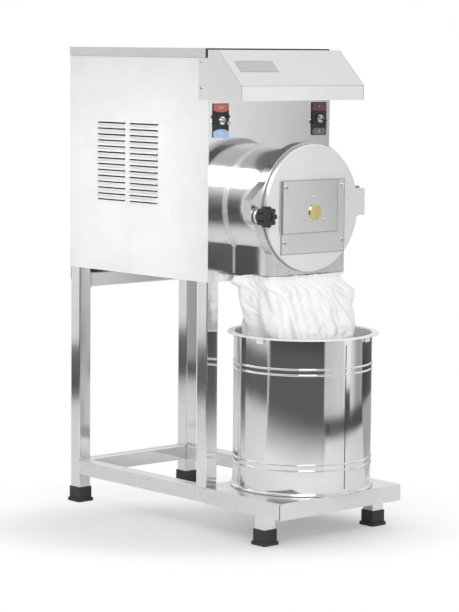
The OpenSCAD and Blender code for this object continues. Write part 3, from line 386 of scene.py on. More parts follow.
# The door's cover and sight plates carry painted shade lines along their edges
satin_cover = sheet_steel("satin_cover", shade(PALE, 0.79), 0.20, 0.70, "x", 0.02, bite=0.012,
                          marks=plate_edge_shade("door_cover_plate"))
sight_steel = sheet_steel("sight_steel", shade(MIRROR, 0.83), 0.10, 1.0, "x", 0.02,
                          marks=plate_edge_shade("door_sight_plate"))
white_rim = sheet_steel("white_rim", shade(PALE, 1.07), 0.30, 0.05, "z", 0.02)
plain_steel = turned_metal("plain_steel", rgb(0.46, 0.47, 0.49), 0.34, 0.10)
cast_flange = turned_metal("cast_flange", rgb(0.78, 0.785, 0.79), 0.24, 0.35)
bright_screw = turned_metal("bright_screw", rgb(0.86, 0.865, 0.87), 0.20, 0.05)
weld_steel = turned_metal("weld_steel", rgb(0.66, 0.655, 0.65), 0.30, 0.10)
plate_metal = sheet_steel("plate_metal", rgb(0.56, 0.565, 0.57), 0.30, 0.75, "x")
pale_seal = moulded_skin("pale_seal", rgb(0.52, 0.52, 0.51), 0.55, 1400.0)
turned_brass = turned_metal("turned_brass", rgb(0.86, 0.72, 0.30), 0.26, 0.08)
foot_rubber = moulded_skin("foot_rubber", rgb(0.030, 0.030, 0.033), 0.62, 1400.0)
black_plastic = moulded_skin("black_plastic", rgb(0.022, 0.022, 0.025), 0.36, 2200.0)
motor_enamel = enamel("motor_enamel", rgb(0.30, 0.34, 0.38))
white_cotton = woven_cotton("white_cotton", rgb(0.96, 0.96, 0.955))
red_film = printed_film("red_film", rgb(0.80, 0.18, 0.15))
blue_film = printed_film("blue_film", rgb(0.42, 0.66, 0.93))
plum_film = printed_film("plum_film", rgb(0.20, 0.07, 0.13))
olive_film = printed_film("olive_film", rgb(0.16, 0.17, 0.14))
white_film = printed_film("white_film", rgb(0.90, 0.90, 0.90))

FINISH_OF = {
    polished_tube: "rear_leg_left rear_leg_right front_leg_left front_leg_right upper_rail_rear "
                   "upper_rails_side front_stubs base_rail_rear lid_hinge_fixed lid_hinge_moving knob_stud "
                   "switch_collars switch_toggle_left switch_toggle_right motor_bearings",
    polished_drum: "drum_shell drum_base",
    polished_shell: "chamber_shell outlet_collar hopper_gate",
    mirror_panel: "front_panel",
    cabinet_sheet: "side_panel_left side_panel_right rear_panel",
    satin_panel: "motor_plate hopper feed_elbow run_capacitor",
    satin_hood: "hood",
    satin_lid: "lid",
    satin_base: "base_rail_left base_rail_right platform_cross_rails platform_pan",
    satin_door: "door chamber_back_plate",
    satin_cover: "door_cover_plate",
    sight_steel: "door_sight_plate",
    white_rim: "drum_rim",
    plain_steel: "lid_hinge_pins grinding_screen beater motor_shaft door_hinge_pin",
    cast_flange: "front_flange",
    turned_brass: "beater_cap door_cap",
    foot_rubber: "rubber_feet",
    pale_seal: "door_seal",
    black_plastic: "lid_grip cable_gland switch_plate_left switch_plate_right motor_fan star_knob",
    motor_enamel: "motor_body fan_cowl",
    white_cotton: "filter_bag",
}
for finish, nodes in FINISH_OF.items():
    for node in nodes.split():
        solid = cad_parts[node]
        solid.data.materials.clear()
        solid.data.materials.append(finish)


# Meshes and pieces

SHARP = math.radians(32)


def placed(name, data):
    """A new object in the scene."""
    thing = bpy.data.objects.new(name, data)
    bpy.context.scene.collection.objects.link(thing)
    return thing


def plain_mesh(thing):
    """What an object's modifiers make of it, as a mesh of its own."""
    return bpy.data.meshes.new_from_object(thing.evaluated_get(bpy.context.evaluated_depsgraph_get()))


def new_piece(name, mesh, material, body):
    """An object at the origin that rides on a body; without a material the mesh keeps its own."""
    piece = placed(name, mesh)
    if material is not None:
        mesh.materials.clear()
        mesh.materials.append(material)
    for face in mesh.polygons:
        face.use_smooth = True
    mesh.set_sharp_from_angle(angle=SHARP)
    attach(piece, body)
    return piece


def facing(place, normal, up=(0, 0, 1)):
    """A matrix that stands local +Z along a normal at a place."""
    out = Vector(normal).normalized()
    side = Vector(up).cross(out)
    if side.length < 1e-6:
        side = Vector((1, 0, 0))
    side.normalize()
    return Matrix.Translation(Vector(place)) @ Matrix((side, out.cross(side), out)).transposed().to_4x4()


# Cloth sleeve

SLEEVE_AROUND = 176
SLEEVE_DOWN = 62
SLEEVE_SLACK = 0.055
TAUT_WIDTH = 15
SETTLE_FRAMES = 18
# Thread crossings round the sleeve and down it
THREAD = 0.0016
WEAVE_AROUND, WEAVE_DOWN = 0.88 / THREAD, 0.26 / THREAD
SLEEVE_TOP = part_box("filter_bag")[1][2]
SLEEVE_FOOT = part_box("filter_bag")[0][2]
SLEEVE_MID = Vector((DRUM_MID.x - 0.0047, DRUM_MID.y + 0.0042, 0))
SLEEVE_R = 0.1150
HELD_HEM, HELD_FOOT = 0.016, 0.03
COLLAR_HALF = (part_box("outlet_collar")[1][0] - 0.002, 0.047)
COLLAR_MID = Vector((0, REAR_Y - 0.529, 0))
COLLAR_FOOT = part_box("outlet_collar")[0][2]
COLLAR_GAP = 0.0012
DRUM_RIM_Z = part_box("drum_rim")[1][2]
MOUTH_R, MOUTH_FLARE = 0.143, 0.9
# Loops under the chute: half width, rear, front and, where it isn't 0, the middle
EDGE_LOOP = (0.115, 0.469, 0.5985)
TIE_LOOP = (0.111, 0.471, 0.5935)
FULL_LOOP = (0.122, 0.476, 0.612, 0.012)
GATHERS = 52
TUFT_TURN, TUFT_WIDTH = -119.5, 9
TUFT_OUT, TUFT_BELOW, TUFT_TALL = 0.017, 0.016, 0.008
# How far below the hem the cloth reaches the tie, fills out, takes its folds and opens to the drum
TIE_FALL = (0.001, 0.009)
FULL_FALL = (0.010, 0.036)
FOLD_FALL = (0.014, 0.034)
OPEN_FALL = (0.030, 0.118)
FOLD_RUN = 0.12
RIPPLE, CRUMPLE = 0.0018, 0.0040
# Folds that lean as they run down: azimuth at the top and at the rim in degrees, height in metres,
# width in degrees
SLEEVE_FOLDS = [(-70, -62, 0.015, 3.8), (-118, -113, 0.007, 5.0), (-56, -46, 0.009, 3.2),
                (-45, -37, 0.009, 3.0), (-33, -25, 0.009, 3.0), (-8, -2, 0.007, 4.0),
                (22, 30, 0.008, 4.5), (58, 52, 0.009, 5.0), (96, 88, 0.010, 6.0),
                (140, 150, 0.010, 6.0), (-172, -166, 0.010, 5.0), (-140, -133, 0.009, 4.5)]
# Hollows and puckers: azimuth, height above the rim, depth, width in degrees, half height
SLEEVE_DENTS = [(-94, 0.034, -0.050, 11, 0.044), (-84, 0.004, -0.010, 9, 0.022),
                (-18, 0.066, 0.007, 6, 0.013), (-28, 0.050, -0.006, 7, 0.020),
                (4, 0.030, -0.007, 10, 0.030), (75, 0.040, -0.016, 16, 0.040),
                (120, 0.040, -0.016, 15, 0.045), (-155, 0.040, -0.015, 13, 0.040)]
HOLLOW_TURN = SLEEVE_DENTS[0][0]


def bell(offset, width):
    """A hump that is 1 in its middle and fades over a width."""
    return math.exp(-0.5 * (offset / width) ** 2)


def turn_gap(first, second):
    """Difference between two azimuths in degrees, from -180 to 180."""
    return (first - second + 180) % 360 - 180


def azimuth_of(turn):
    """Degrees from the front, towards the right."""
    return math.degrees(math.atan2(math.cos(turn), -math.sin(turn)))


def loop_point(turn, half_x, rear_v, front_v, mid_x=0.0):
    """A point on a round-cornered loop under the chute, from its half width and its rear and front."""
    across, fore = math.cos(turn), math.sin(turn)
    half_y = (front_v - rear_v) / 2
    reach = (abs(across / half_x) ** 7 + abs(fore / half_y) ** 7) ** (-1 / 7)
    return Vector((mid_x + reach * across, REAR_Y - (front_v + rear_v) / 2 + reach * fore, 0))


def collar_reach(turn):
    """Distance from the collar's middle to just outside its wall."""
    across, fore = abs(math.cos(turn)), abs(math.sin(turn))
    half_x, half_y = (half + COLLAR_GAP for half in COLLAR_HALF)
    return ((across / half_x) ** 5 + (fore / half_y) ** 5) ** (-0.2)


def ease(value, start, end):
    """A smooth rise from 0 to 1 between two values."""
    share = min(1.0, max(0.0, (value - start) / (end - start)))
    return share * share * (3 - 2 * share)


def sleeve_start(turn, share):
    """The sleeve before it settles: share 0 at its hem, 1 at its foot in the drum."""
    z = SLEEVE_TOP + (SLEEVE_FOOT - SLEEVE_TOP) * share
    across, fore = math.cos(turn), math.sin(turn)
    out = Vector((across, fore, 0))
    azimuth = azimuth_of(turn)
    below = SLEEVE_TOP - z
    above = z - DRUM_RIM_Z
    # The ruffled edge stands out over the tie, and the cloth fills out again below it
    edge, tie, full_loop = (loop_point(turn, *loop) for loop in (EDGE_LOOP, TIE_LOOP, FULL_LOOP))
    hem = edge.lerp(tie, ease(below, *TIE_FALL)).lerp(full_loop, ease(below, *FULL_FALL))
    gather = GATHERS * turn + 2.6 * math.sin(3 * turn) + 1.4 * math.sin(7 * turn)
    ruffle = 0.0019 * bell(below, 0.005) + 0.0016 * bell(below - 0.024, 0.016)
    hem += ruffle * math.sin(gather) * out
    tuft = TUFT_OUT * bell(turn_gap(azimuth, TUFT_TURN), TUFT_WIDTH)
    hem += tuft * bell(below - TUFT_BELOW, TUFT_TALL) * out
    # Folds and hollows push the cloth out or in, and a ripple and a crumple break it up
    full = ease(below, *FOLD_FALL)
    push = 0.0
    for start, end, height, width in SLEEVE_FOLDS:
        lean = start + (end - start) * min(1.3, max(0.0, below / FOLD_RUN))
        push += height * bell(turn_gap(azimuth, lean), width) * full
        push -= 0.5 * height * bell(turn_gap(azimuth, lean + 2.1 * width), width) * full
    for centre, rise, depth, width, tall in SLEEVE_DENTS:
        push += depth * bell(turn_gap(azimuth, centre), width) * bell(above - rise, tall)
    push += RIPPLE * math.sin(17 * turn + 3 * math.sin(2 * turn) - 9 * share) * full
    crumple = noise.noise(Vector((across * 4.1 + 3, fore * 4.1, z * 34)))
    push += CRUMPLE * (0.35 - abs(crumple)) * full
    body = SLEEVE_MID + SLEEVE_R * out
    spot = hem.lerp(body, ease(below, *OPEN_FALL)) + push * out
    # In front and at the sides the edge stands up round the chute's foot
    front = ease(REAR_Y - spot.y, 0.480, 0.520)
    ragged = 0.5 + 0.5 * noise.noise(Vector((turn * 5.0, 2.0, 0.0)))
    spot.z = z + (0.0050 * front - 0.0015) * bell(below, 0.007) - 0.004 * ragged * bell(below, 0.004)
    return spot


def settle_sleeve(sleeve):
    """The tied hem and the foot are held, and the slack cloth between them crumples."""
    held = sleeve.vertex_groups.new(name="held")
    for row in range(SLEEVE_DOWN + 1):
        z = SLEEVE_TOP + (SLEEVE_FOOT - SLEEVE_TOP) * row / SLEEVE_DOWN
        if SLEEVE_TOP - z < HELD_HEM or z < DRUM_RIM_Z - HELD_FOOT:
            held.add(range(row * SLEEVE_AROUND, (row + 1) * SLEEVE_AROUND), 1.0, "REPLACE")
    # The cloth hangs taut in the hollow at its left
    taut = sleeve.vertex_groups.new(name="taut")
    for column in range(SLEEVE_AROUND):
        azimuth = azimuth_of(2 * math.pi * column / SLEEVE_AROUND)
        share = bell(turn_gap(azimuth, HOLLOW_TURN), TAUT_WIDTH)
        taut.add(range(column, SLEEVE_AROUND * (SLEEVE_DOWN + 1), SLEEVE_AROUND), share, "REPLACE")
    cloth = sleeve.modifiers.new("settle", "CLOTH")
    cloth.point_cache.frame_end = SETTLE_FRAMES
    cloth.settings.quality = 5
    cloth.settings.mass = 0.15
    cloth.settings.tension_stiffness = 12
    cloth.settings.compression_stiffness = 12
    cloth.settings.shear_stiffness = 6
    cloth.settings.bending_stiffness = 0.04
    cloth.settings.air_damping = 4
    cloth.settings.shrink_min = -SLEEVE_SLACK
    cloth.settings.shrink_max = 0.0
    cloth.settings.vertex_group_shrink = "taut"
    cloth.settings.vertex_group_mass = "held"
    cloth.settings.effector_weights.gravity = 0.12
    cloth.collision_settings.use_collision = False
    cloth.collision_settings.use_self_collision = True
    cloth.collision_settings.self_distance_min = 0.002
    scene = bpy.context.scene
    for step in range(1, SETTLE_FRAMES + 1):
        scene.frame_set(step)
    settled = plain_mesh(sleeve)
    places = [vertex.co.copy() for vertex in settled.vertices]
    sleeve.modifiers.remove(cloth)
    sleeve.vertex_groups.clear()
    bpy.data.meshes.remove(settled)
    scene.frame_set(1)
    return places


def keep_clear(spot):
    """Cloth stays outside the collar and inside the drum's mouth."""
    if COLLAR_FOOT - 0.004 < spot.z < SLEEVE_TOP:
        out = spot - COLLAR_MID
        reach = math.hypot(out.x, out.y)
        need = collar_reach(math.atan2(out.y, out.x))
        if reach < need:
            spot.x = COLLAR_MID.x + out.x * need / reach
            spot.y = COLLAR_MID.y + out.y * need / reach
    out = Vector((spot.x - DRUM_MID.x, spot.y - DRUM_MID.y))
    room = MOUTH_R + max(0.0, spot.z - DRUM_RIM_Z - 0.004) * MOUTH_FLARE
    if out.length > room:
        spot.x = DRUM_MID.x + out.x * room / out.length
        spot.y = DRUM_MID.y + out.y * room / out.length
    return spot


def cloth_sleeve():
    """The cotton sleeve from the chute into the drum, settled and then made finer."""
    mesh = bpy.data.meshes.new("cloth_sleeve")
    shaper = bmesh.new()
    around = SLEEVE_AROUND
    rows = []
    for j in range(SLEEVE_DOWN + 1):
        rows.append([shaper.verts.new(sleeve_start(2 * math.pi * i / around, j / SLEEVE_DOWN))
                     for i in range(around)])
    threads = shaper.loops.layers.uv.new("threads")
    for j in range(SLEEVE_DOWN):
        for i in range(around):
            ring = [(j, i), (j + 1, i), (j + 1, i + 1), (j, i + 1)]
            face = shaper.faces.new([rows[r][c % around] for r, c in ring])
            for loop, (r, c) in zip(face.loops, ring):
                loop[threads].uv = (c / around * WEAVE_AROUND, r / SLEEVE_DOWN * WEAVE_DOWN)
    bmesh.ops.recalc_face_normals(shaper, faces=shaper.faces)
    shaper.to_mesh(mesh)
    shaper.free()
    sleeve = placed("cloth_sleeve", mesh)
    places = settle_sleeve(sleeve)
    for vertex, spot in zip(mesh.vertices, places):
        vertex.co = keep_clear(spot)
    finer = sleeve.modifiers.new("finer", "SUBSURF")
    finer.levels = finer.render_levels = 1
    smooth = plain_mesh(sleeve)
    sleeve.modifiers.remove(finer)
    bpy.data.objects.remove(sleeve)
    sleeve = new_piece("cloth_sleeve", smooth, white_cotton, "stand")
    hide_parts("filter_bag")
    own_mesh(sleeve)
    return sleeve


cloth_sleeve()


# Screws, rivets and weld beads

DOME_SEGMENTS, DOME_RINGS = 24, 12
BEAD_SIDES, BEAD_WAVE = 10, 2.1


class Shape(Nodes):
    """A Geometry Nodes tree with named inputs for its sizes."""

    KINDS = {"Seats": "NodeSocketGeometry", "Material": "NodeSocketMaterial"}

    def __init__(self, name, inputs):
        super().__init__(bpy.data.node_groups.new(name, "GeometryNodeTree"))
        face = self.tree.interface
        face.new_socket("Geometry", in_out="OUTPUT", socket_type="NodeSocketGeometry")
        self.keys = {}
        for label in ["Seats"] + inputs + ["Material"]:
            kind = self.KINDS.get(label, "NodeSocketFloat")
            self.keys[label] = face.new_socket(label, in_out="INPUT", socket_type=kind).identifier

    def given(self, label):
        return self.add("NodeGroupInput", out=label)

    def vector(self, x, y, z):
        return self.add("ShaderNodeCombineXYZ", None, {0: x, 1: y, 2: z})

    def block(self, x, y, z, base):
        """A box standing on a height."""
        box = self.add("GeometryNodeMeshCube", None, {"Size": self.vector(x, y, z)})
        return self.add("GeometryNodeTransform", None, {
            "Geometry": box, "Translation": self.vector(0, 0, base + z / 2)})

    def end(self, geometry):
        """The tree's last nodes: plain geometry with its material."""
        solid = self.add("GeometryNodeRealizeInstances", None, {"Geometry": geometry})
        done = self.add("GeometryNodeSetMaterial", None, {
            "Geometry": solid, "Material": self.given("Material")})
        self.add("NodeGroupOutput", None, {0: done})

    def grow(self, name, start, sizes, body, slot):
        """The tree's result on a start mesh, as a plain piece."""
        holder = placed(name + "_start", start)
        work = holder.modifiers.new("shape", "NODES")
        work.node_group = self.tree
        for label, value in sizes.items():
            work[self.keys[label]] = value
        mesh = plain_mesh(holder)
        holder.modifiers.remove(work)
        bpy.data.objects.remove(holder)
        mesh.name = name
        return new_piece(name, mesh, None, body)


def fastener(name, crossed):
    """A domed head on each seat, with a cross recess if it is a screw."""
    shape = Shape(name, ["Radius", "Height"])
    radius, height = shape.given("Radius"), shape.given("Height")
    ball = shape.add("GeometryNodeMeshUVSphere", None, {
        "Segments": DOME_SEGMENTS, "Rings": DOME_RINGS, "Radius": 1.0})
    dome = shape.add("GeometryNodeTransform", None, {
        "Geometry": ball, "Translation": shape.vector(0, 0, height * -0.25),
        "Scale": shape.vector(radius * 1.03, radius * 1.03, height * 1.25)})
    room = shape.block(radius * 3, radius * 3, height * 3, height * 0)
    head = shape.add("GeometryNodeMeshBoolean", {"operation": "INTERSECT"}, {"Mesh 2": [dome, room]})
    if crossed:
        long, narrow, depth = radius * 1.15, radius * 0.26, height * 0.45
        slots = [shape.block(long, narrow, height, depth), shape.block(narrow, long, height, depth)]
        head = shape.add("GeometryNodeMeshBoolean", {"operation": "DIFFERENCE"},
                         {"Mesh 1": head, "Mesh 2": slots})
    aim = shape.add("GeometryNodeInputNamedAttribute", {"data_type": "FLOAT_VECTOR"}, {"Name": "aim"})
    turn = shape.add("FunctionNodeEulerToRotation", None, {"Euler": aim})
    shape.end(shape.add("GeometryNodeInstanceOnPoints", None,
                        {"Points": shape.given("Seats"), "Instance": head, "Rotation": turn}))
    return shape


def weld_bead():
    """A rippled bead along each edge of the start mesh."""
    shape = Shape("weld_bead", ["Radius", "Step", "Ripple"])
    line = shape.add("GeometryNodeMeshToCurve", None, {"Mesh": shape.given("Seats")})
    line = shape.add("GeometryNodeResampleCurve", {"mode": "LENGTH"},
                     {"Curve": line, "Length": shape.given("Step")})
    count = shape.add("GeometryNodeInputIndex")
    wave = count.math("SINE", count * BEAD_WAVE)
    ring = shape.add("GeometryNodeCurvePrimitiveCircle", None,
                     {"Resolution": BEAD_SIDES, "Radius": shape.given("Radius")})
    shape.end(shape.add("GeometryNodeCurveToMesh", None, {
        "Curve": line, "Profile Curve": ring, "Scale": 1 + wave * shape.given("Ripple"), "Fill Caps": True}))
    return shape


def seats(name, rows):
    """Points for fasteners from rows of a place, an outward direction and a turn in degrees."""
    mesh = bpy.data.meshes.new(name)
    mesh.from_pydata([place for place, out, turn in rows], [], [])
    aim = mesh.attributes.new("aim", "FLOAT_VECTOR", "POINT")
    for seat, (place, out, turn) in zip(aim.data, rows):
        seat.vector = (facing(place, out) @ Matrix.Rotation(math.radians(turn), 4, "Z")).to_euler()
    return mesh


SCREW = fastener("cross_head_screw", True)
RIVET = fastener("dome_rivet", False)
BEAD = weld_bead()


def fit(head, name, rows, radius, height, material, body, slot):
    """Fasteners on rows of seats, from a radius and a height in millimetres."""
    sizes = {"Radius": radius * MM, "Height": height * MM, "Material": material}
    head.grow(name, seats(name, rows), sizes, body, slot)


def lay_bead(name, points, edges, radius, step, ripple, material, body, slot):
    """A bead along the edges between some points, from a radius and a step in millimetres."""
    mesh = bpy.data.meshes.new(name + "_run")
    mesh.from_pydata(points, edges, [])
    sizes = {"Radius": radius * MM, "Step": step * MM, "Ripple": ripple, "Material": material}
    BEAD.grow(name, mesh, sizes, body, slot)


def forward(node):
    """How far a solid's rear and front lie in front of the rear panel, in millimetres."""
    low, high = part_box(node)
    return [(REAR_Y - high[1]) / MM, (REAR_Y - low[1]) / MM]


def heights(node):
    """A solid's foot and top in millimetres."""
    low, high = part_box(node)
    return [low[2] / MM, high[2] / MM]


FRONT, REAR = (0, -1, 0), (0, 1, 0)
SIDES = (-1, 1)

# Seats of the fasteners in millimetres
COVER_V = forward("door_cover_plate")[1]
SIGHT_V = forward("door_sight_plate")[1]
COVER_SCREW_X, COVER_SCREW_Z = 84, (741, 624)
CAP_Z = middle("door_cap").z / MM
CAP_RING_R, CAP_RING_TURNS = 32, (95, 208, 328)
CHEEK_X = HOOD_X / MM
CHEEK_V = 443
CHEEK_SCREWS = ((1000, 15), (945, 52))
CHEEK_RIVET_Z = 930
BACK_SCREW_X, BACK_SCREW_Z = 160.5, (540, 690, 840, 985)
RAIL_SCREW_X, RAIL_SCREW_DROP = (-90, 0, 90), 8
HINGE_X = [side * (105 + step) for side in SIDES for step in (-20, 0, 20)]
HINGE_LEAF_V = -1.5
FIXED_LEAF_Z, MOVING_LEAF_Z = 986, 1020.5
PLATE_V = forward("switch_plate_left")[1]
PLATE_Z = middle("switch_plate_left").z / MM
PLATE_SCREW_X, PLATE_SCREW_RISE = 22, 8

# Tubes of the stand in millimetres
LEG_IN, LEG_OUT = (corner[0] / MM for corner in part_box("rear_leg_right"))
REAR_LEG_V = forward("rear_leg_right")
FRONT_LEG_V = forward("front_leg_right")
RAIL_FOOT, RAIL_TOP = heights("base_rail_left")
UPPER_RAIL_Z = heights("upper_rail_rear")

# Seams and the door seal's lip
PAN_SEAM_X, PAN_SEAM_V = 1.15, 2.7
LAP_TURN = math.radians(-96.2)
LAP_END, LAP_PROUD = 0.012, 0.0002
GASKET_R = 0.1334
GASKET_STEPS = 120


def fit_fasteners():
    """Screws and rivets of the door, the cabinet, the switches and the lid."""
    high, low = COVER_SCREW_Z
    cover = [(at(-COVER_SCREW_X, SIGHT_V, high), FRONT, 20), (at(COVER_SCREW_X, COVER_V, high), FRONT, 65),
             (at(-COVER_SCREW_X, COVER_V, low), FRONT, -12), (at(COVER_SCREW_X, COVER_V, low), FRONT, 38)]
    fit(SCREW, "door_screws", cover, 5.4, 2.8, bright_screw, "door", "polished_steel")
    ring = [(at(CAP_RING_R * math.cos(turn), SIGHT_V, CAP_Z + CAP_RING_R * math.sin(turn)), FRONT, 0)
            for turn in map(math.radians, CAP_RING_TURNS)]
    fit(RIVET, "door_rivets", ring, 3.6, 2.4, bright_screw, "door", "polished_steel")
    cheeks = [(at(side * CHEEK_X, CHEEK_V, z), (side, 0, 0), turn)
              for side in SIDES for z, turn in CHEEK_SCREWS]
    back = [(at(side * BACK_SCREW_X, 0, z), REAR, z * 0.7) for side in SIDES for z in BACK_SCREW_Z]
    back += [(at(x, 0, UPPER_RAIL_Z[1] - RAIL_SCREW_DROP), REAR, x) for x in RAIL_SCREW_X]
    fit(SCREW, "cabinet_screws", cheeks + back, 4.4, 2.2, bright_screw, "stand", "polished_steel")
    leaves = [(at(x, HINGE_LEAF_V, FIXED_LEAF_Z), REAR, x) for x in HINGE_X]
    cheeks = [(at(side * CHEEK_X, CHEEK_V, CHEEK_RIVET_Z), (side, 0, 0), 0) for side in SIDES]
    fit(RIVET, "cabinet_rivets", leaves + cheeks, 2.4, 1.4, bright_screw, "stand", "polished_steel")
    rises = {"switch_plate_left": PLATE_SCREW_RISE, "switch_plate_right": -PLATE_SCREW_RISE}
    ears = [(at(middle(plate).x / MM + side * PLATE_SCREW_X, PLATE_V, PLATE_Z + rise), FRONT, 30)
            for plate, rise in rises.items() for side in SIDES]
    fit(SCREW, "switch_screws", ears, 3.4, 2.2, black_plastic, "stand", "black_plastic")
    leaves = [(at(x, HINGE_LEAF_V, MOVING_LEAF_Z), REAR, x) for x in HINGE_X]
    fit(RIVET, "lid_rivets", leaves, 2.4, 1.4, bright_screw, "lid", "polished_steel")


def lay_welds():
    """Beads in the inside corners where the tubes meet."""
    runs = []
    rear, face = REAR_LEG_V
    for side in SIDES:
        near, far = side * LEG_IN, side * LEG_OUT
        runs += [((near, face, RAIL_TOP), (far, face, RAIL_TOP)),
                 ((near, face, RAIL_FOOT), (far, face, RAIL_FOOT)),
                 ((near, face, RAIL_FOOT), (near, face, RAIL_TOP)),
                 ((near, FRONT_LEG_V[0], RAIL_TOP), (far, FRONT_LEG_V[0], RAIL_TOP)),
                 ((near, FRONT_LEG_V[0], RAIL_TOP), (near, FRONT_LEG_V[1], RAIL_TOP))]
        runs += [((near, rear, z), (near, face, z)) for z in [RAIL_TOP, RAIL_FOOT] + UPPER_RAIL_Z]
        runs += [((near, face, UPPER_RAIL_Z[0]), (near, face, UPPER_RAIL_Z[1]))]
    points = [at(*end) for run in runs for end in run]
    edges = [(2 * i, 2 * i + 1) for i in range(len(runs))]
    lay_bead("weld_beads", points, edges, 1.7, 0.9, 0.16, weld_steel, "stand", "polished_steel")


def lay_seam_shades():
    """Painted shade: dark beads in the open seams at the platform's front corners, and a dark line on the
    lap of the drum's sheet.
    """
    pan_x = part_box("platform_pan")[1][0] / MM - PAN_SEAM_X
    pan_v = forward("platform_pan")[1] - PAN_SEAM_V
    pan_foot = heights("platform_pan")[0]
    ends = [at(side * pan_x, pan_v, z) for side in SIDES for z in (pan_foot + 1, RAIL_TOP - 1)]
    # Painted shade: a dark bead fills each open corner seam, where the shade in the seam falls
    lay_bead("corner_seams", ends, [(0, 1), (2, 3)], 1.1, 1.5, 0.04, foot_rubber, "stand", "black_rubber")
    # The drum's lap: a dark joint line, made dark enough to stand in for the shade at the lap's edge as well
    low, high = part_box("drum_shell")
    lap = DRUM_MID + (DRUM_R + LAP_PROUD) * Vector((math.cos(LAP_TURN), math.sin(LAP_TURN), 0))
    ends = [(lap.x, lap.y, z) for z in (low[2] + LAP_END, high[2] - LAP_END)]
    lay_bead("drum_seam", ends, [(0, 1)], 0.75, 6, 0.0, foot_rubber, "drum", "black_rubber")


def lay_gasket():
    """The seal's pale lip, which fills the joint between the door and its flange."""
    joint = middle("door_seal").y
    turns = [2 * math.pi * step / GASKET_STEPS for step in range(GASKET_STEPS)]
    points = [(GASKET_R * math.cos(turn), joint, AXIS_Z + GASKET_R * math.sin(turn)) for turn in turns]
    edges = [(step, (step + 1) % GASKET_STEPS) for step in range(GASKET_STEPS)]
    lay_bead("gasket_lip", points, edges, 1.25, 3, 0.0, pale_seal, "door", "black_rubber")


fit_fasteners()
lay_welds()
lay_seam_shades()
lay_gasket()


# Hood plate and switch labels

EDGE_SHARE = 0.3
SINK_WALL = 0.15
LABEL_THICK = 0.3
WORD_LIFT = 0.32
WORD_TALL = 0.0085
HOOD_PLATE_AT = (-100, 528.6, 990.8)
HOOD_PLATE_WIDE, HOOD_PLATE_TALL = 109, 32
PLATE_RIVET_X, PLATE_RIVET_Y = 50.5, 12.2


def thin_plate(name, outline, thick, rim, sink, stand, material, body):
    """A thin plate with softened edges; a rim and a sink leave a raised border."""
    shaper = bmesh.new()
    face = shaper.faces.new([shaper.verts.new((x * MM, y * MM, 0)) for x, y in outline])
    lifted = bmesh.ops.extrude_face_region(shaper, geom=[face])["geom"]
    corners = [part for part in lifted if isinstance(part, bmesh.types.BMVert)]
    bmesh.ops.translate(shaper, vec=(0, 0, thick * MM), verts=corners)
    bmesh.ops.recalc_face_normals(shaper, faces=shaper.faces)
    top = [f for f in shaper.faces if f.normal.z > 0.9]
    bmesh.ops.bevel(shaper, geom=list(top[0].edges), offset=EDGE_SHARE * thick * MM, segments=2,
                    affect="EDGES")
    if rim:
        top = max((f for f in shaper.faces if f.normal.z > 0.99), key=lambda f: f.calc_area())
        bmesh.ops.inset_region(shaper, faces=[top], thickness=rim * MM)
        bmesh.ops.inset_region(shaper, faces=[top], thickness=SINK_WALL * MM, depth=-sink * MM)
    mesh = bpy.data.meshes.new(name)
    shaper.to_mesh(mesh)
    shaper.free()
    mesh.transform(stand)
    return new_piece(name, mesh, material, body)


def round_outline(wide, tall, corner, steps=8):
    """A rectangle with round corners, anticlockwise, in millimetres."""
    points = []
    for sx, sy, start in ((1, 1, 0), (-1, 1, 90), (-1, -1, 180), (1, -1, 270)):
        for step in range(steps + 1):
            turn = math.radians(start + 90 * step / steps)
            points.append((sx * (wide / 2 - corner) + corner * math.cos(turn),
                           sy * (tall / 2 - corner) + corner * math.sin(turn)))
    return points


def bowed_outline(wide, tall, bow, flip, steps=16):
    """A label with square shoulders on one side and a bowed edge on the other."""
    points = [(wide / 2, tall / 2), (-wide / 2, tall / 2)]
    for step in range(steps + 1):
        x = -wide / 2 + wide * step / steps
        points.append((x, -tall / 2 + bow * (2 * x / wide) ** 2))
    return [(-x, -y) for x, y in points] if flip else points


def word_mesh(text, size):
    """A word as a flat thin mesh round its own middle."""
    letters = bpy.data.curves.new("word", "FONT")
    letters.body = text
    letters.size = size
    letters.extrude = 0.05 * MM
    letters.align_x = "CENTER"
    letters.align_y = "CENTER"
    holder = placed("word", letters)
    mesh = plain_mesh(holder)
    bpy.data.objects.remove(holder)
    return mesh


